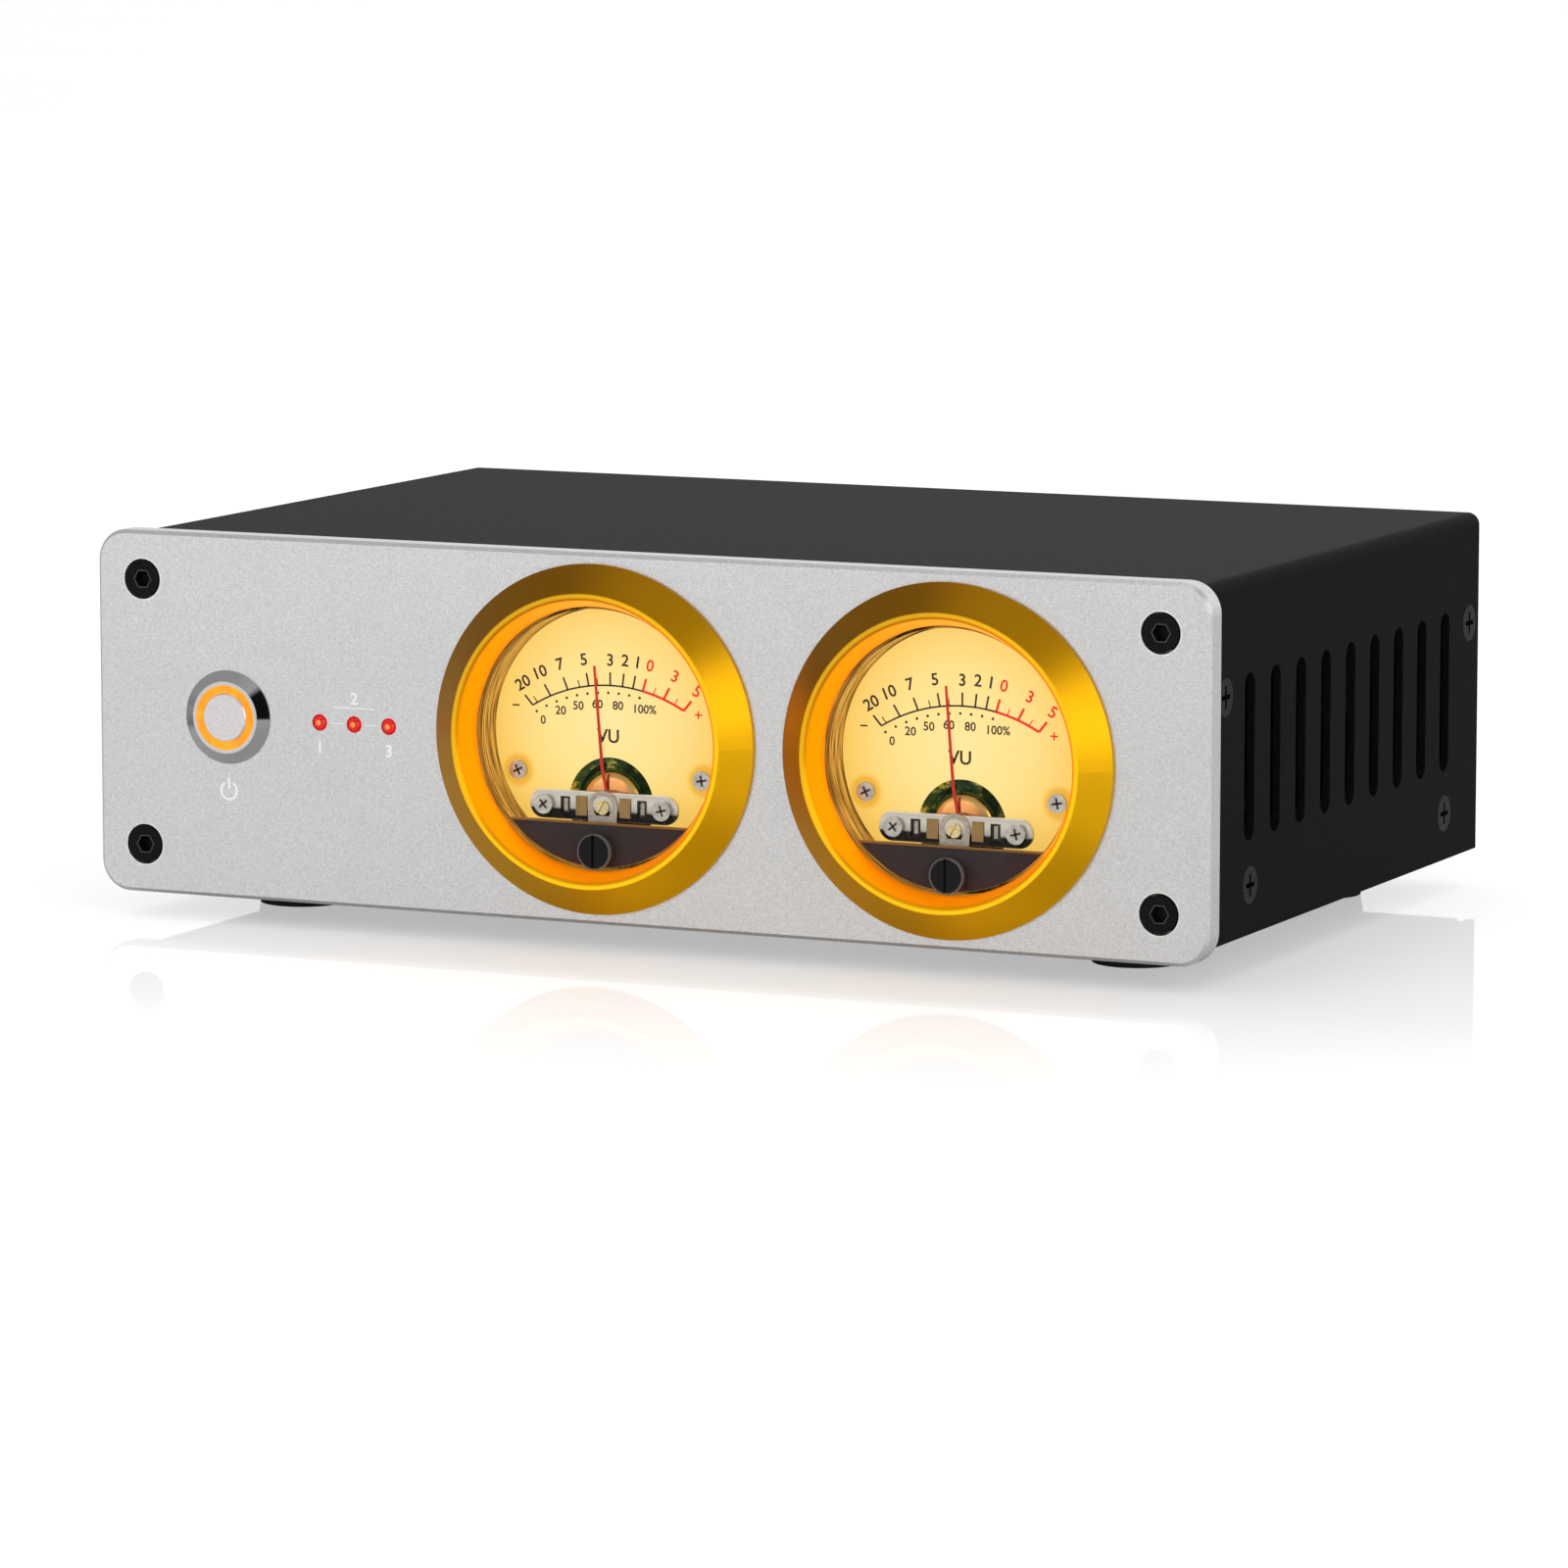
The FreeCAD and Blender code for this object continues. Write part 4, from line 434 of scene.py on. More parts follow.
def brushed_aluminium():
    """Silver plate with short fine streaks both ways, grain and faint clouds."""
    material, tree, shader = new_material("brushed_aluminium")
    across = noise(tree, 3200, stretch=(0.30, 1, 1.0), detail=3)
    upright = noise(tree, 3200, stretch=(1.0, 1, 0.30), detail=3)
    grain = noise(tree, 3800)
    cloud = noise(tree, 70, detail=5, roughness=0.7)
    streaks = maths(tree, "ADD", maths(tree, "MULTIPLY", across, 0.24),
                    maths(tree, "MULTIPLY", upright, 0.24))
    fine = maths(tree, "ADD", maths(tree, "MULTIPLY", grain, 0.47), maths(tree, "MULTIPLY", cloud, 0.05))
    level = maths(tree, "ADD", streaks, fine)
    feed(tree, shader.inputs["Base Color"],
         ramp(tree, level, [(0.38, grey(0.68)), (0.5, grey(0.80)), (0.62, grey(0.92))]))
    feed(tree, shader.inputs["Roughness"], ramp(tree, level, [(0.35, grey(0.50)), (0.65, grey(0.36))]))
    set_shader(shader, Metallic=0.85)
    bump(tree, shader, level, strength=0.13, distance=0.02)
    return material


def powder_coat():
    """Black paint with a fine pebbled grain."""
    material, tree, shader = new_material("black_powder_coat")
    fine = noise(tree, 2400, detail=3)
    feed(tree, shader.inputs["Base Color"],
         grained(tree, fine, (0.0045, 0.0045, 0.0048, 1), (0.013, 0.013, 0.0135, 1)))
    feed(tree, shader.inputs["Roughness"], grained(tree, fine, grey(0.50), grey(0.56)))
    set_shader(shader, Specular_IOR_Level=0.02)
    bump(tree, shader, fine, strength=0.5, distance=0.06)
    return material


def circuit_board():
    """Green board with a pattern of tracks."""
    material, tree, shader = new_material("circuit_board")
    tracks = add(tree, "ShaderNodeTexVoronoi", distance="MANHATTAN")
    tracks.inputs["Scale"].default_value = 260
    tree.links.new(place_vector(tree), tracks.inputs["Vector"])
    stops = [(0.30, (0.015, 0.12, 0.05, 1)), (0.34, (0.03, 0.22, 0.09, 1))]
    feed(tree, shader.inputs["Base Color"], ramp(tree, tracks.outputs["Distance"], stops))
    set_shader(shader, Roughness=0.35)
    return material


def orange_light():
    """Light ring of the button."""
    material, tree, shader = new_material("orange_light")
    level = noise(tree, 400)
    feed(tree, shader.inputs["Emission Color"],
         grained(tree, level, (1.0, 0.27, 0.0, 1), (1.0, 0.42, 0.01, 1)))
    feed(tree, shader.inputs["Base Color"], grained(tree, level, (0.4, 0.10, 0.0, 1), (0.4, 0.15, 0.0, 1)))
    set_shader(shader, Roughness=0.25, Emission_Strength=0.9)
    return material


def red_lens():
    """Lit red lamps, orange in the middle of each."""
    material, tree, shader = new_material("red_lens")
    level = noise(tree, 900)
    low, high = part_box("indicator_leds")
    middle_x, middle_z = middle_of("indicator_leds")
    lamp_radius = (high.z - low.z) / 2
    nearest = radius_about(tree, low.x + lamp_radius, middle_z)[0]
    for x in (middle_x, high.x - lamp_radius):
        nearest = maths(tree, "MINIMUM", nearest, radius_about(tree, x, middle_z)[0])
    spot = ramp(tree, maths(tree, "DIVIDE", nearest, lamp_radius), [(0.18, grey(1.0)), (0.34, grey(0.0))])
    red = grained(tree, level, (0.55, 0.0, 0.004, 1), (0.7, 0.01, 0.006, 1))
    feed(tree, shader.inputs["Emission Color"], mix_colours(tree, spot, red, (1.0, 0.36, 0.04, 1)))
    feed(tree, shader.inputs["Base Color"], grained(tree, level, (0.25, 0.0, 0.0, 1), (0.32, 0.0, 0.0, 1)))
    set_shader(shader, Roughness=0.12, Coat_Weight=0.4, Emission_Strength=0.85)
    return material


def button_chrome():
    """Polished bush whose bevel has a painted reflection, dark on one side, with a pale flat painted
    highlight rim inside.
    """
    material, tree, shader = new_material("switch_chrome")
    x, z = middle_of("switch_body")
    radius, parts = radius_about(tree, x, z)
    # Tones by the turn about the middle are painted reflection, dark on one side.
    bevel = ramp(tree, turn_about(tree, parts, x, z),
                 [(0.0, grey(0.42)), (0.03, grey(0.28)), (0.06, grey(0.66)), (0.30, grey(0.58)),
                  (0.496, grey(0.52)), (0.504, grey(0.010)), (0.60, grey(0.012)), (0.625, grey(0.75)),
                  (0.70, grey(0.62)), (0.90, grey(0.68)), (1.0, grey(0.42))])
    # The pale line at the rim inside is a painted highlight.
    share = maths(tree, "DIVIDE", radius, BUTTON_RIM_RADIUS * MM)
    rim = ramp(tree, share, [(0.985, grey(0.9)), (0.995, grey(0.0))])
    feed(tree, shader.inputs["Base Color"], mix_colours(tree, 1.0, bevel, rim, "LIGHTEN"))
    feed(tree, shader.inputs["Roughness"], grained(tree, noise(tree, 900), grey(0.14), grey(0.18)))
    set_shader(shader, Metallic=1.0)
    return material


# Materials of the meters

def gold_bezel(side):
    """Lathe-turned anodised gold with painted reflection tones round it, and painted orange lamp glow in its
    funnel.
    """
    material, tree, shader = new_material("gold_bezel_" + side)
    x, z = middle_of("bezel_" + side)
    radius, parts = radius_about(tree, x, z)
    turning = add(tree, "ShaderNodeTexWave", wave_type="RINGS", rings_direction="SPHERICAL")
    turning.inputs["Scale"].default_value = 900
    turning.inputs["Distortion"].default_value = 1.5
    tree.links.new(place_vector(tree, (1, 0, 1), (-x, 0, -z)), turning.inputs["Vector"])
    turn = pushed(tree, turn_about(tree, parts, x, z), turning.outputs["Fac"], 0.01)
    # Tones by the turn about the middle are painted reflection: dark brown on one side, bright gold on the
    # other.
    painted_reflection_tones = ramp(tree, turn, [(0.0, (0.56, 0.25, 0.006, 1)), (0.14, (0.88, 0.43, 0.005, 1)),
                             (0.30, (0.98, 0.50, 0.005, 1)), (0.50, (0.92, 0.48, 0.006, 1)),
                             (0.66, (0.70, 0.33, 0.006, 1)), (0.78, (0.40, 0.17, 0.008, 1)),
                             (0.90, (0.38, 0.16, 0.008, 1)), (1.0, (0.56, 0.25, 0.006, 1))])
    share = maths(tree, "DIVIDE", radius, half_width_of("bezel_" + side))
    # The funnel's orange colour, its glow and the glowing ring beyond it are painted light of the meter's
    # lamp.
    funnel = ramp(tree, share, [(0.80, grey(1.0)), (0.812, grey(0.0))])
    feed(tree, shader.inputs["Base Color"], mix_colours(tree, funnel, painted_reflection_tones, (0.85, 0.24, 0.0, 1)))
    feed(tree, shader.inputs["Roughness"], grained(tree, noise(tree, 300), grey(0.33), grey(0.34)))
    glow = ramp(tree, share, [(0.745, (0.40, 0.06, 0.0, 1)), (0.765, (1.0, 0.25, 0.0, 1)),
                              (0.798, (1.0, 0.28, 0.0, 1)), (0.808, (0.18, 0.07, 0.0, 1)),
                              (0.822, (0.56, 0.32, 0.01, 1)), (0.836, (0.56, 0.32, 0.01, 1)),
                              (0.845, (0, 0, 0, 1))])
    feed(tree, shader.inputs["Emission Color"], glow)
    set_shader(shader, Metallic=1.0, Emission_Strength=0.82)
    return material


def dial_face(side):
    """Printed dial with a painted backlight glow: pale yellow in the middle, deeper at the edge and by its
    screws.
    """
    material, tree, shader = new_material("dial_face_" + side)
    middle_x, middle_z = middle_of("bezel_" + side)
    screws_z = middle_of("dial_screws")[1]
    radius, parts = radius_about(tree, middle_x, middle_z + DIAL_GLOW_RISE * MM)
    share = wavered(tree, maths(tree, "DIVIDE", radius, DIAL_GLOW_REACH * MM), noise(tree, 1500), 0.03)
    from_middle = maths(tree, "ABSOLUTE", maths(tree, "SUBTRACT", parts["X"], middle_x))
    from_screw = length_of(tree, maths(tree, "SUBTRACT", from_middle, DIAL_SCREW_X * MM),
                           maths(tree, "SUBTRACT", parts["Z"], screws_z))
    nearness = maths(tree, "SUBTRACT", 1.0, maths(tree, "DIVIDE", from_screw, DIAL_HALO_REACH * MM))
    share = pushed(tree, share, maths(tree, "MAXIMUM", nearness, 0.0), 0.9)
    # Emission and base colour follow one pattern of painted backlight, deeper by the screws.
    feed(tree, shader.inputs["Emission Color"],
         ramp(tree, share, [(0.0, (0.98, 0.80, 0.37, 1)), (0.45, (0.97, 0.76, 0.29, 1)),
                            (0.75, (0.94, 0.64, 0.15, 1)), (1.0, (0.84, 0.46, 0.05, 1))]))
    feed(tree, shader.inputs["Base Color"],
         ramp(tree, share, [(0.0, (0.30, 0.22, 0.08, 1)), (1.0, (0.22, 0.12, 0.02, 1))]))
    set_shader(shader, Roughness=0.6, Emission_Strength=0.88, Specular_IOR_Level=0.2)
    return material


def window_clear(side):
    """Clear front, which lets the light through, and a cup wall with brown-gold streaks of painted
    reflection, which glow.
    """
    material, tree, shader = new_material("window_clear_" + side)
    feed(tree, shader.inputs["Roughness"], grained(tree, noise(tree, 30), grey(0.02), grey(0.04)))
    set_shader(shader, Base_Color=(1, 0.985, 0.94, 1), Transmission_Weight=1.0, IOR=1.12)
    clear = add(tree, "ShaderNodeBsdfTransparent")
    paths = add(tree, "ShaderNodeLightPath")
    light = maths(tree, "MAXIMUM", paths.outputs["Is Shadow Ray"], paths.outputs["Is Diffuse Ray"])
    front = mix_shaders(tree, light, shader.outputs["BSDF"], clear.outputs["BSDF"])
    wall = add(tree, "ShaderNodeBsdfPrincipled")
    # The wall's brown-gold streaks are painted reflection, and they also carry a painted glow.
    streaks = noise(tree, 260, stretch=(0.5, 9, 0.5), detail=3)
    colour = ramp(tree, streaks, [(0.35, (0.07, 0.035, 0.008, 1)), (0.5, (0.42, 0.22, 0.03, 1)),
                                  (0.65, (0.80, 0.50, 0.10, 1))])
    feed(tree, wall.inputs["Base Color"], colour)
    feed(tree, wall.inputs["Emission Color"], colour)
    set_shader(wall, Emission_Strength=0.35, Roughness=0.3)
    radius, parts = radius_about(tree, *middle_of("window_" + side))
    outer = maths(tree, "GREATER_THAN", radius, half_width_of("window_" + side) - WINDOW_WALL * MM)
    deep = maths(tree, "GREATER_THAN", parts["Y"], front_of("window_" + side) + WINDOW_FRONT * MM)
    set_surface(tree, mix_shaders(tree, maths(tree, "MULTIPLY", outer, deep), front, wall.outputs["BSDF"]))
    return material


def bridge_metal(side):
    """Bright plate with a painted reflection, a dark band along its lower part, and a painted highlight at
    its top.
    """
    material, tree, shader = new_material("bridge_metal_" + side)
    level = noise(tree, 700, detail=3)
    reflection_band_height = BRIDGE_REFLECTION_BAND_HEIGHT * MM
    above = maths(tree, "SUBTRACT", place_parts(tree)["Z"], pivot_of(side)[1] - reflection_band_height / 2)
    share = wavered(tree, maths(tree, "DIVIDE", above, reflection_band_height), level, 0.02)
    # Painted reflection: a brownish line at the very bottom and a dark band, then a pale painted highlight at
    # the top.
    feed(tree, shader.inputs["Base Color"],
         ramp(tree, share, [(0.0, (0.20, 0.15, 0.10, 1)), (0.06, (0.016, 0.014, 0.014, 1)),
                            (0.33, (0.022, 0.020, 0.020, 1)), (0.41, (0.48, 0.46, 0.44, 1)),
                            (0.70, (0.70, 0.68, 0.64, 1)), (0.94, (0.62, 0.60, 0.56, 1)),
                            (1.0, (0.90, 0.88, 0.80, 1))]))
    feed(tree, shader.inputs["Roughness"], grained(tree, level, grey(0.30), grey(0.34)))
    set_shader(shader, Metallic=1.0)
    return material


def coil_copper(side):
    """Copper in the middle and dim olive metal round it, with painted gold glints in a ring between them."""
    material, tree, shader = new_material("coil_copper_" + side)
    radius, _ = radius_about(tree, *pivot_of(side))
    level = noise(tree, 420, detail=4)
    share = wavered(tree, maths(tree, "DIVIDE", radius, COIL_REACH * MM), level, 0.10)
    # The gold ring between the copper and the olive is painted glints.
    feed(tree, shader.inputs["Base Color"],
         ramp(tree, share, [(0.0, (0.62, 0.30, 0.15, 1)), (0.5, (0.50, 0.22, 0.10, 1)),
                            (0.72, (0.78, 0.46, 0.22, 1)), (0.80, (0.85, 0.62, 0.22, 1)),
                            (0.86, (0.03, 0.05, 0.01, 1)), (1.0, (0.05, 0.08, 0.015, 1))]))
    feed(tree, shader.inputs["Roughness"], grained(tree, level, grey(0.15), grey(0.35)))
    set_shader(shader, Metallic=1.0)
    bump(tree, shader, level, strength=0.6, distance=0.15)
    return material


def dome_copper(side):
    """Brown copper with a painted gold highlight towards its rim, darker at the very edge."""
    material, tree, shader = new_material("dome_copper_" + side)
    radius, _ = radius_about(tree, *pivot_of(side))
    level = noise(tree, 260, detail=4)
    share = wavered(tree, maths(tree, "DIVIDE", radius, DOME_RADIUS * MM), level, 0.12)
    # The gold band towards the rim is a painted highlight.
    feed(tree, shader.inputs["Base Color"],
         ramp(tree, share, [(0.0, (0.50, 0.21, 0.08, 1)), (0.70, (0.62, 0.27, 0.10, 1)),
                            (0.84, (0.80, 0.45, 0.15, 1)), (0.93, (0.88, 0.62, 0.20, 1)),
                            (1.0, (0.22, 0.12, 0.04, 1))]))
    feed(tree, shader.inputs["Roughness"], grained(tree, level, grey(0.18), grey(0.30)))
    set_shader(shader, Metallic=1.0)
    return material


def movement_green(name):
    """Dark green lacquered iron with painted gold glints, and a painted glow in the same colours."""
    material, tree, shader = new_material(name)
    level = noise(tree, 260, stretch=(1, 1, 1.7), detail=7, roughness=0.72)
    # The gold spikes in this ramp are painted glints, and the colour also feeds a painted glow.
    colour = ramp(tree, level, [(0.40, (0.008, 0.022, 0.006, 1)), (0.56, (0.03, 0.07, 0.015, 1)),
                                (0.62, (0.60, 0.42, 0.06, 1)), (0.66, (0.04, 0.08, 0.02, 1))])
    feed(tree, shader.inputs["Base Color"], colour)
    feed(tree, shader.inputs["Emission Color"], colour)
    set_shader(shader, Metallic=0.6, Roughness=0.25, Emission_Strength=0.25)
    return material


def zero_black(side):
    """Glossy black adjuster with a painted pale highlight line round its rim."""
    material, tree, shader = new_material("zero_screw_black_" + side)
    name = "zero_screw_" + side
    radius, _ = radius_about(tree, *middle_of(name))
    share = pushed(tree, maths(tree, "DIVIDE", radius, half_width_of(name)), noise(tree, 900), 0.02)
    # The pale grey near the edge is a painted highlight.
    feed(tree, shader.inputs["Base Color"],
         ramp(tree, share, [(0.0, grey(0.004)), (0.90, grey(0.004)), (0.95, grey(0.13)), (1.0, grey(0.16))]))
    set_shader(shader, Roughness=0.12, Specular_IOR_Level=0.22)
    return material


def mask_charcoal():
    """Charcoal plastic with a painted brown-gold reflection line along its top edge."""
    material, tree, shader = new_material("mask_black")
    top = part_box("mask_left")[1].z
    below = maths(tree, "DIVIDE", maths(tree, "SUBTRACT", top, place_parts(tree)["Z"]), MASK_EDGE * MM)
    # The brown-gold band just below the top edge is a painted reflection.
    feed(tree, shader.inputs["Base Color"],
         ramp(tree, pushed(tree, below, noise(tree, 900, detail=3), 0.08),
              [(0.0, (0.36, 0.20, 0.04, 1)), (0.36, (0.30, 0.16, 0.035, 1)),
               (0.48, (0.044, 0.036, 0.041, 1)), (1.0, (0.052, 0.043, 0.049, 1))]))
    set_shader(shader, Roughness=0.4, Specular_IOR_Level=0.3)
    return material


# Which node has which material

def shared_materials():
    """Materials by the slot of the nodes that share them."""
    return {
        "brushed_aluminium": brushed_aluminium(),
        "black_powder_coat": powder_coat(),
        "black_screw_steel": plain_plastic("black_screw_steel", (0.010, 0.010, 0.011), 0.3,
                                           Specular_IOR_Level=0.06),
        "zinc_steel": plain_metal("zinc_steel", (0.62, 0.63, 0.65), 0.35),
        "foot_rubber": plain_plastic("foot_rubber", (0.02, 0.02, 0.02), 0.75, grain_scale=2000, depth=0.05),
        "switch_chrome": button_chrome(),
        "switch_cap_metal": plain_metal("switch_cap_metal", (0.86, 0.84, 0.83), 0.42, grain_scale=1800,
                                        spread=0.05),
        "orange_light": orange_light(),
        "nickel": plain_metal("nickel", (0.66, 0.65, 0.62), 0.3),
        "red_lens": red_lens(),
        "circuit_board": circuit_board(),
        "gold_contact": plain_metal("gold_contact", (0.83, 0.60, 0.24), 0.25),
        "socket_plastic": plain_plastic("socket_plastic", (0.03, 0.03, 0.03), 0.4),
        "mask_black": mask_charcoal(),
        "housing_plastic": plain_plastic("housing_plastic", (0.03, 0.03, 0.03), 0.5),
        "bridge_metal": plain_metal("screw_silver", (0.62, 0.60, 0.57), 0.22),
        "jewel_brass": plain_metal("jewel_brass", (0.80, 0.66, 0.36), 0.28),
        "yoke_iron": movement_green("yoke_iron"),
        "pointer_red": plain_plastic("pointer_red", (0.75, 0.03, 0.015), 0.4),
        "spring_bronze": plain_metal("spring_bronze", (0.75, 0.5, 0.25), 0.3),
    }


def dress_nodes(materials):
    """Give each node the material of its slot, made for each side where it is painted about a middle."""
    by_side = {"gold_bezel": gold_bezel, "dial_face": dial_face, "window_clear": window_clear,
               "coil_copper": coil_copper, "bridge_metal": bridge_metal}
    slot_of = {part["node"]: part["material_slot"] for part in frame["record"]["subparts"]}
    for name, obj in frame["nodes"].items():
        slot = slot_of[name]
        side = name.split("_")[-1]
        if slot in by_side and side in SIDES:
            material = by_side[slot](side)
        elif name.startswith("zero_screw"):
            material = zero_black(side)
        else:
            material = materials[slot]
        obj.data.materials.clear()
        obj.data.materials.append(material)


# Flat outlines in X and Z

def disc(x, z, radius, steps):
    angles = [WHOLE_TURN * i / steps for i in range(steps)]
    return [(x + radius * math.cos(a), z + radius * math.sin(a)) for a in angles]


def bar(x, z, width, height):
    return [(x - width / 2, z - height / 2), (x + width / 2, z - height / 2), (x + width / 2, z + height / 2),
            (x - width / 2, z + height / 2)]


def ring_of(x, z, radius, line, steps, start=0.0, sweep=WHOLE_TURN):
    """Outlines round a ring, an arc or a polygon's rim. A line below nought runs inwards."""
    angles = [start + sweep * i / steps for i in range(steps + 1)]
    quads = []
    for a, b in zip(angles, angles[1:]):
        quads.append([(x + r * math.cos(t), z + r * math.sin(t))
                      for r, t in ((radius, a), (radius, b), (radius + line, b), (radius + line, a))])
    return quads


def cross(x, z, turn):
    """Two bars across each other about a screw in metres, turned by an angle in degrees."""
    middle = Vector((x, z))
    outlines = []
    for angle in (math.radians(turn), math.radians(turn + 90)):
        along = Vector((math.cos(angle), math.sin(angle))) * (CROSS_LENGTH * MM / 2)
        across = Vector((-math.sin(angle), math.cos(angle))) * (CROSS_LINE * MM / 2)
        outlines.append([tuple(middle - along - across), tuple(middle + along - across),
                         tuple(middle + along + across), tuple(middle - along + across)])
    return outlines


def about_pivot(side, outlines, turn=0.0):
    """Outlines in millimetres from a needle's pivot, turned by an angle, as places in metres."""
    pivot_x, pivot_z = pivot_of(side)
    cos = math.cos(turn)
    sin = math.sin(turn)
    return [[(pivot_x + (x * cos + z * sin) * MM, pivot_z + (z * cos - x * sin) * MM) for x, z in outline]
            for outline in outlines]


# Outlines of the printed scale, in millimetres from the pivot

def scale_reach(angle):
    """Distance from the pivot to the printed arc at an angle in degrees."""
    along = SCALE_CENTRE_BELOW * math.cos(math.radians(angle))
    return math.sqrt(along ** 2 - SCALE_CENTRE_BELOW ** 2 + SCALE_RADIUS ** 2) - along


def polar(angle, reach):
    turn = math.radians(angle)
    return (reach * math.sin(turn), reach * math.cos(turn))


def arc_band(start, end, width, steps):
    """Outlines along the printed arc from one angle to another."""
    angles = [start + (end - start) * i / steps for i in range(steps + 1)]
    half = width / 2
    return [[polar(a, scale_reach(a) + half), polar(b, scale_reach(b) + half),
             polar(b, scale_reach(b) - half), polar(a, scale_reach(a) - half)]
            for a, b in zip(angles, angles[1:])]


def tick(angle, length, width):
    """Bar that stands on the arc and points away from the pivot."""
    start = Vector(polar(angle, scale_reach(angle)))
    end = Vector(polar(angle, scale_reach(angle) + length))
    across = Vector(polar(angle + 90, width / 2))
    return [tuple(start - across), tuple(start + across), tuple(end + across), tuple(end - across)]


# Meshes and pieces

def extruded(outlines, y, thickness):
    """Mesh of flat outlines, lifted towards the front from the plane y."""
    mesh = bpy.data.meshes.new("print")
    bm = bmesh.new()
    for outline in outlines:
        front = [bm.verts.new((x, y - thickness, z)) for x, z in outline]
        back = [bm.verts.new((x, y, z)) for x, z in outline]
        bm.faces.new(front)
        bm.faces.new(back[::-1])
        for i in range(len(outline)):
            j = (i + 1) % len(outline)
            bm.faces.new((front[j], front[i], back[i], back[j]))
    bmesh.ops.recalc_face_normals(bm, faces=bm.faces)
    bm.to_mesh(mesh)
    bm.free()
    return mesh


def text_mesh(words, height, x, z, y, turn=0.0):
    """Flat lettering that faces the front, centred on x and z."""
    curve = bpy.data.curves.new("words", "FONT")
    curve.body = words
    curve.size = height / NUMERAL_SHARE
    curve.offset = LETTER_WEIGHT * curve.size
    curve.align_x = "CENTER"
    curve.align_y = "CENTER"
    curve.extrude = PRINT_THICKNESS * MM / 2
    curve.resolution_u = LETTER_STEPS
    helper = bpy.data.objects.new("words", curve)
    bpy.context.scene.collection.objects.link(helper)
    bpy.context.view_layer.update()
    mesh = bpy.data.meshes.new_from_object(helper)
    bpy.data.objects.remove(helper)
    upright = Matrix.Rotation(math.pi / 2, 4, "X")
    spin = Matrix.Rotation(turn, 4, "Y")
    mesh.transform(Matrix.Translation((x, y, z)) @ spin @ upright)
    return mesh


def mesh_piece(name, mesh, material, body="root"):
    obj = bpy.data.objects.new(name, mesh)
    bpy.context.scene.collection.objects.link(obj)
    obj.data.materials.append(material)
    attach(obj, body)
    return obj


def joined(name, meshes, material):
    """One piece of the case's body, made of several meshes."""
    bm = bmesh.new()
    for mesh in meshes:
        bm.from_mesh(mesh)
    whole = bpy.data.meshes.new(name)
    bm.to_mesh(whole)
    bm.free()
    return mesh_piece(name, whole, material)


def dial_print(side, black, red):
    """The scale, its numerals, its percent row and its signs, in black and in red."""
    pivot_x, pivot_z = pivot_of(side)
    y = front_of("dial_plate_" + side) - PRINT_PROUD * MM

    def lines_mesh(outlines):
        return extruded(about_pivot(side, outlines), y, PRINT_THICKNESS * MM)

    def words(text, place, height, turn=0.0):
        return text_mesh(text, height * MM, pivot_x + place[0] * MM, pivot_z + place[1] * MM, y, turn)

    def numerals(row):
        meshes = []
        for text, angle in row:
            x, z = polar(angle, NUMERAL_RADIUS + NUMERAL_SPREAD * abs(angle) / NUMERAL_END)
            meshes.append(words(text, (x, z), NUMERAL_HEIGHT, math.atan2(x, z + SCALE_CENTRE_BELOW)))
        return meshes

    lines = arc_band(BLACK_TICKS[0], RED_TICKS[0], SCALE_LINE, SCALE_STEPS)
    lines += [tick(angle, TICK_LONG, TICK_LINE) for angle in BLACK_TICKS]
    lines += [tick(angle, TICK_SHORT, SHORT_TICK_LINE) for angle in BLACK_SHORT_TICKS]
    for i in range(DOT_COUNT):
        angle = DOT_FIRST + i * DOT_PITCH
        lines.append(disc(*polar(angle, scale_reach(angle) - DOT_DROP), DOT_RADIUS, DOT_STEPS))
    lines.append(bar(*MINUS_PLACE, SIGN_LENGTH, SIGN_LINE))
    meshes = [lines_mesh(lines)] + numerals(NUMERALS)
    meshes += [words(text, place, PERCENT_HEIGHT) for text, place in PERCENT_PLACES.items()]
    meshes.append(words("VU", UNIT_PLACE, UNIT_HEIGHT))
    joined("scale_black_" + side, meshes, black)

    lines = arc_band(RED_TICKS[0], RED_TICKS[-1], RED_LINE, RED_STEPS)
    lines += [tick(angle, TICK_LONG, RED_LINE) for angle in RED_TICKS]
    lines += [tick(angle, TICK_SHORT, SHORT_TICK_LINE) for angle in RED_SHORT_TICKS]
    lines.append(bar(*PLUS_PLACE, SIGN_LENGTH, SIGN_LINE))
    lines.append(bar(*PLUS_PLACE, SIGN_LINE, SIGN_LENGTH))
    joined("scale_red_" + side, [lines_mesh(lines)] + numerals(RED_NUMERALS), red)


def driver_crosses(side, dark):
    """Driver crosses of the dial's and the bridge's screws, as flat marks of painted shade."""
    middle_x = pivot_of(side)[0]
    meshes = []
    for screws, offset, turns in (("dial_screws", DIAL_SCREW_X * MM, DIAL_CROSS_TURNS),
                                  ("bridge_screws", BRIDGE_SCREW_X * MM, BRIDGE_CROSS_TURNS)):
        z = middle_of(screws)[1]
        outlines = cross(middle_x - offset, z, turns[0]) + cross(middle_x + offset, z, turns[1])
        meshes.append(extruded(outlines, front_of(screws), CROSS_PROUD * MM))
    joined("driver_crosses_" + side, meshes, dark)


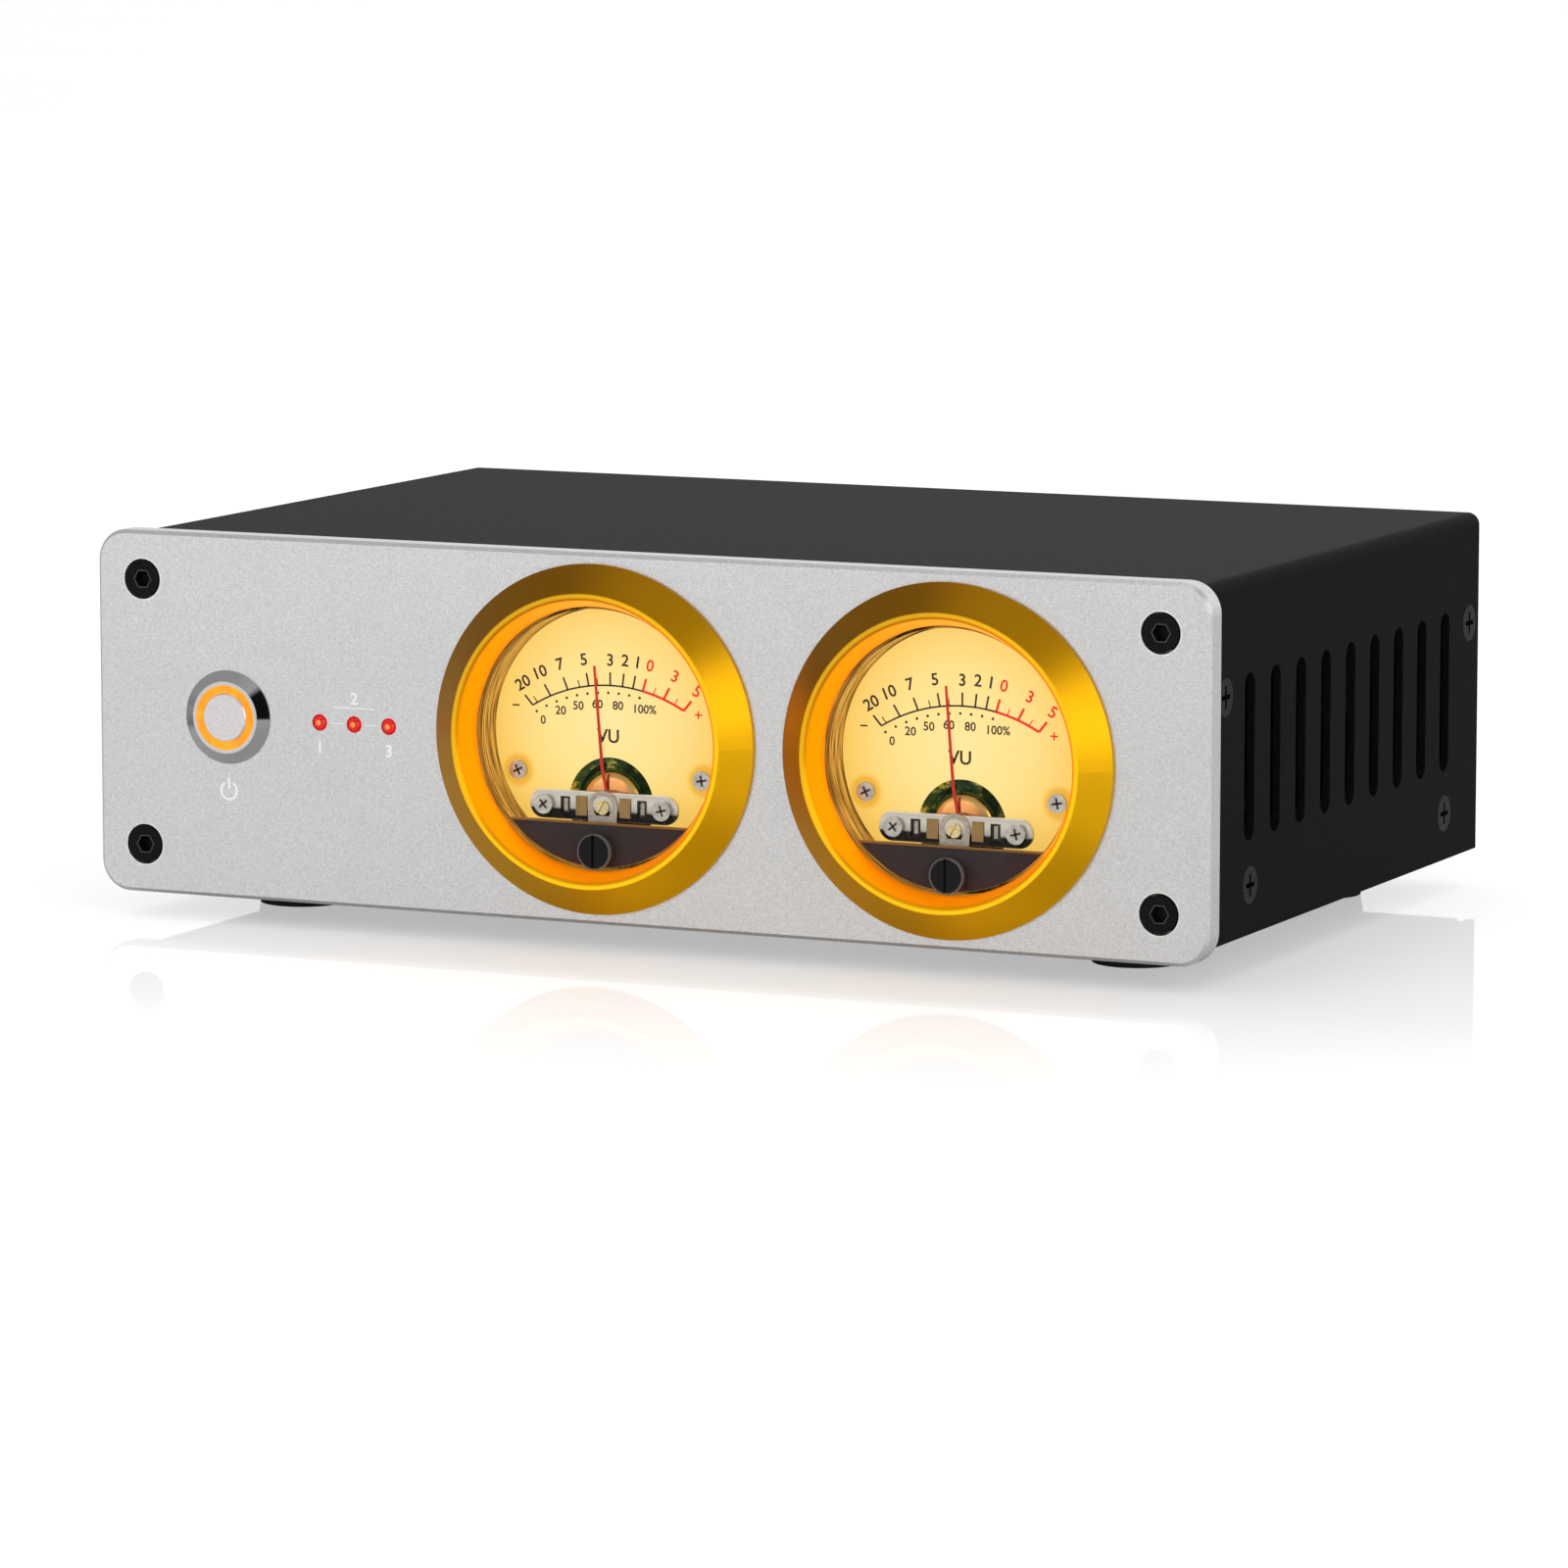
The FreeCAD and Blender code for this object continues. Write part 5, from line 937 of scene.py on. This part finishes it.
def boss_plate(side, pale):
    """Pale plate on the bridge's boss: a half round above, a tab below and a hole round the jewel screw."""
    outer = [(-BOSS_TAB_HALF_WIDTH, -BOSS_TAB_DROP)]
    for i in range(BOSS_STEPS + 1):
        angle = math.pi * i / BOSS_STEPS
        outer.append((-BOSS_RADIUS * math.cos(angle), BOSS_RADIUS * math.sin(angle)))
    outer.append((BOSS_TAB_HALF_WIDTH, -BOSS_TAB_DROP))
    hole = [tuple(Vector(point).normalized() * BOSS_HOLE_RADIUS) for point in outer]
    quads = []
    for i in range(len(outer)):
        j = (i + 1) % len(outer)
        quads.append([outer[i], outer[j], hole[j], hole[i]])
    mesh = extruded(about_pivot(side, quads), front_of("bridge_" + side), BOSS_PROUD * MM)
    joined("boss_plate_" + side, [mesh], pale)


def bridge_inserts(side, dark, pale, brass):
    """To the left and right of the boss, a block, and a dark back of painted shade with a peg in the slot."""
    face = front_of("bridge_" + side)

    def pair_mesh(offset, width, height, behind, rise):
        outlines = about_pivot(side, [bar(-offset, 0, width, height), bar(offset, 0, width, height)])
        return extruded(outlines, face + behind * MM, rise * MM)

    blocks = pair_mesh(BLOCK_X, BLOCK_WIDTH, BLOCK_HEIGHT, BLOCK_BEHIND_FACE, BLOCK_RISE)
    joined("brass_blocks_" + side, [blocks], brass)
    shade_backs = pair_mesh(INSERT_X, SLOT_SHADE_WIDTH, SLOT_SHADE_HEIGHT, SLOT_SHADE_BEHIND_FACE, SLOT_SHADE_RISE)
    joined("slot_shade_backs_" + side, [shade_backs], dark)
    pegs = pair_mesh(INSERT_X, PEG_WIDTH, PEG_HEIGHT, PEG_BEHIND_FACE, PEG_RISE)
    joined("slot_pegs_" + side, [pegs], pale)


def needle(side, red):
    """Thin needle with its jog to the hub and its balance arms, in place of the wider solid."""
    wide = NEEDLE_WIDTH / 2
    thin = NEEDLE_TIP_WIDTH / 2
    x = -NEEDLE_OFFSET
    outlines = [[(x - wide, NEEDLE_BEND), (x - thin, NEEDLE_LENGTH), (x + thin, NEEDLE_LENGTH),
                 (x + wide, NEEDLE_BEND)],
                [(-wide, 0), (x - wide, NEEDLE_BEND), (x + wide, NEEDLE_BEND), (wide, 0)],
                bar(0, -BALANCE_ARM / 2, NEEDLE_WIDTH, BALANCE_ARM),
                bar(0, 0, 2 * BALANCE_ARM, NEEDLE_WIDTH),
                disc(0, 0, NEEDLE_HUB_RADIUS, NEEDLE_HUB_STEPS)]
    for arm_end in ((-BALANCE_ARM, 0), (BALANCE_ARM, 0), (0, -BALANCE_ARM)):
        outlines.append(disc(*arm_end, BALANCE_RADIUS, BALANCE_STEPS))
    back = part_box("pointer_" + side)[1].y
    mesh = extruded(about_pivot(side, outlines, math.radians(NEEDLE_TURN)), back, NEEDLE_THICKNESS * MM)
    piece = mesh_piece("needle_" + side, mesh, red, "movement_" + side)
    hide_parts("pointer_" + side)


def dome(side, copper):
    """Low copper dome in front of the coil's cheek."""
    pivot_x, pivot_z = pivot_of(side)
    front = front_of("dial_plate_" + side) + DOME_BEHIND_DIAL * MM
    angles = [WHOLE_TURN * k / DOME_STEPS for k in range(DOME_STEPS)]
    mesh = bpy.data.meshes.new("dome")
    bm = bmesh.new()
    rings = []
    for i in range(DOME_RINGS):
        rise = i / DOME_RINGS * math.pi / 2
        radius = DOME_RADIUS * MM * math.cos(rise)
        y = front + (DOME_DEPTH - DOME_DEPTH * math.sin(rise)) * MM
        rings.append([bm.verts.new((pivot_x + radius * math.cos(a), y, pivot_z + radius * math.sin(a)))
                      for a in angles])
    top = bm.verts.new((pivot_x, front, pivot_z))
    bm.faces.new(rings[0])
    for inner, outer in zip(rings[1:], rings):
        for k in range(DOME_STEPS):
            j = (k + 1) % DOME_STEPS
            bm.faces.new((outer[k], outer[j], inner[j], inner[k]))
    for k in range(DOME_STEPS):
        j = (k + 1) % DOME_STEPS
        bm.faces.new((rings[-1][k], rings[-1][j], top))
    bmesh.ops.recalc_face_normals(bm, faces=bm.faces)
    for face in bm.faces:
        face.smooth = True
    bm.to_mesh(mesh)
    bm.free()
    mesh_piece("coil_dome_" + side, mesh, copper, "movement_" + side)


def panel_marks(white):
    """A power sign under the button, and plain numerals and lines by the indicator lamps."""
    y = front_of("front_panel")
    button_x, middle_z = middle_of("switch_body")
    lamps_low, lamps_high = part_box("indicator_leds")
    lamp_radius = (lamps_high.z - lamps_low.z) / 2
    first = lamps_low.x + lamp_radius
    last = lamps_high.x - lamp_radius
    middle = (first + last) / 2
    mark_z = middle_z - POWER_BELOW * MM
    radius = POWER_RADIUS * MM
    line = POWER_LINE * MM
    opening = math.radians(POWER_OPENING)
    outlines = ring_of(button_x, mark_z, radius, -line, POWER_STEPS,
                       start=math.pi / 2 + opening, sweep=WHOLE_TURN - 2 * opening)
    outlines.append(bar(button_x, mark_z + radius * POWER_BAR_RISE_SHARE, line,
                        radius * POWER_BAR_LENGTH_SHARE))
    gap = LABEL_GAP * MM
    for end in (first, last):
        outlines.append(bar((end + middle) / 2, middle_z, abs(end - middle) - 2 * gap, LABEL_LINE * MM))
    outlines.append(bar(middle, middle_z + UPPER_LINE_RISE * MM, UPPER_LINE_LENGTH * MM, UPPER_LINE * MM))
    meshes = [extruded(outlines, y, MARK_PROUD * MM)]
    above = middle_z + LABEL_DROP * MM
    below = middle_z - LABEL_DROP * MM
    for words, x, z in (("1", first, below), ("2", middle, above), ("3", last, below)):
        meshes.append(text_mesh(words, LABEL_HEIGHT * MM, x, z, y))
    joined("panel_marks", meshes, white)


def screw_highlight_rims(pale, dark):
    """Painted highlights: a pale rim round each panel screw's recess, and a grey glint line round its hexagon
    socket.
    """
    low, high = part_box("front_panel_screws")
    head_radius = SCREW_HEAD_RADIUS * MM
    socket_radius = SOCKET_WIDTH * MM / math.sqrt(3)
    rims = []
    sockets = []
    for x in (low.x + head_radius, high.x - head_radius):
        for z in (low.z + head_radius, high.z - head_radius):
            rims += ring_of(x, z, head_radius + RIM_OUTSIDE_HEAD * MM, RIM_LINE * MM, RIM_STEPS)
            sockets += ring_of(x, z, socket_radius, SOCKET_LINE * MM, SOCKET_SIDES)
    mesh = extruded(rims, front_of("front_panel"), MARK_PROUD * MM)
    joined("screw_highlight_rims", [mesh], pale)
    mesh = extruded(sockets, low.y, MARK_PROUD * MM)
    joined("socket_glint_rims", [mesh], dark)


# Light, floor and camera

def area_light(name, place, target, width, height, power):
    lamp = bpy.data.lights.new(name, "AREA")
    lamp.shape = "RECTANGLE"
    lamp.size = width
    lamp.size_y = height
    lamp.energy = power
    obj = bpy.data.objects.new(name, lamp)
    bpy.context.scene.collection.objects.link(obj)
    obj.location = place
    direction = Vector(target) - Vector(place)
    obj.rotation_euler = direction.to_track_quat("-Z", "Y").to_euler()


def world_light():
    """Pale surroundings: white behind the object, greyer in front of it."""
    world = bpy.data.worlds.new("studio")
    bpy.context.scene.world = world
    world.use_nodes = True
    tree = world.node_tree
    coordinates = add(tree, "ShaderNodeTexCoord")
    split = add(tree, "ShaderNodeSeparateXYZ")
    tree.links.new(coordinates.outputs["Generated"], split.inputs["Vector"])
    behind = maths(tree, "MULTIPLY", maths(tree, "ADD", split.outputs["Y"], 1.0), 0.5)
    colour = ramp(tree, behind, [(0.0, grey(0.42)), (0.45, grey(0.34)), (0.75, grey(0.60)),
                                 (0.95, grey(1.0))])
    tree.links.new(colour, tree.nodes["Background"].inputs["Color"])


def floor_material():
    """White sheet that glows to the camera, with a soft mirror image that fades with distance."""
    material, tree, shader = new_material("floor_white")
    feed(tree, shader.inputs["Base Color"], grained(tree, noise(tree, 3), grey(0.86), grey(0.88)))
    paths = add(tree, "ShaderNodeLightPath")
    feed(tree, shader.inputs["Emission Strength"],
         maths(tree, "MULTIPLY", paths.outputs["Is Camera Ray"], FLOOR_GLOW))
    set_shader(shader, Roughness=0.9, Specular_IOR_Level=0.0, Emission_Color=(1, 1, 1, 1))
    low, high = cad_box
    parts = place_parts(tree)
    in_front = maths(tree, "MAXIMUM", maths(tree, "SUBTRACT", low[1], parts["Y"]), 0.0)
    beside = maths(tree, "MAXIMUM", maths(tree, "SUBTRACT", parts["X"], high[0]), 0.0)
    away = maths(tree, "DIVIDE", maths(tree, "ADD", in_front, beside), MIRROR_REACH)
    fade = ramp(tree, away, [(0.0, grey(0.32)), (0.25, grey(0.20)), (0.6, grey(0.07)), (0.9, grey(0.0))])
    mirror = add(tree, "ShaderNodeBsdfGlossy")
    mirror.inputs["Roughness"].default_value = MIRROR_ROUGHNESS
    set_surface(tree, mix_shaders(tree, fade, shader.outputs["BSDF"], mirror.outputs["BSDF"]))
    return material


def floor():
    mesh = bpy.data.meshes.new("floor")
    bm = bmesh.new()
    bm.faces.new([bm.verts.new((x * FLOOR_REACH, y * FLOOR_REACH, 0))
                  for x, y in ((-1, -1), (1, -1), (1, 1), (-1, 1))])
    bm.to_mesh(mesh)
    bm.free()
    obj = bpy.data.objects.new("floor", mesh)
    bpy.context.scene.collection.objects.link(obj)
    obj.data.materials.append(floor_material())


def photo_camera():
    camera = bpy.data.cameras.new("photo_camera")
    camera.sensor_width = SENSOR_WIDTH
    camera.lens = FOCAL_IN_WIDTHS * SENSOR_WIDTH
    obj = bpy.data.objects.new("photo_camera", camera)
    bpy.context.scene.collection.objects.link(obj)
    obj.location = (CAMERA_X, front_of("front_panel") - CAMERA_FROM_FACE, CAMERA_Z)
    obj.rotation_euler = (math.pi / 2 - CAMERA_PITCH, 0, CAMERA_YAW)
    bpy.context.scene.camera = obj


def main():
    dress_nodes(shared_materials())
    black = ink("scale_ink", (0.045, 0.022, 0.008))
    # The red ink has a painted glow.
    red = ink("scale_red_ink", (0.85, 0.03, 0.01), glow=0.35)
    # Dark ink of painted shade, for the screws' cross recesses and the backs of the bridge's slots.
    dark = ink("recess_painted_shade", (0.03, 0.022, 0.015))
    pale = plain_plastic("boss_pale", (0.55, 0.50, 0.44), 0.35)
    brass = plain_metal("block_brass", (0.33, 0.21, 0.09), 0.35)
    needle_red = plain_plastic("needle_red", (0.70, 0.02, 0.01), 0.4)
    for side in SIDES:
        dial_print(side, black, red)
        driver_crosses(side, dark)
        boss_plate(side, pale)
        bridge_inserts(side, dark, pale, brass)
        needle(side, needle_red)
        dome(side, dome_copper(side))
    # The panel's white ink has a painted glow.
    panel_marks(ink("panel_white_ink", (0.95, 0.95, 0.95), glow=0.35))
    # Pale painted highlight for the rims of the screws' recesses, and grey painted glints round their
    # sockets.
    rim_highlight_pale = plain_metal("rim_highlight_pale", (0.92, 0.92, 0.90), 0.3)
    socket_glint_grey = plain_metal("socket_glint_grey", (0.09, 0.09, 0.095), 0.35)
    screw_highlight_rims(rim_highlight_pale, socket_glint_grey)
    world_light()
    for light in LIGHTS:
        area_light(*light)
    floor()
    bpy.context.scene.view_settings.view_transform = "Standard"
    photo_camera()


main()
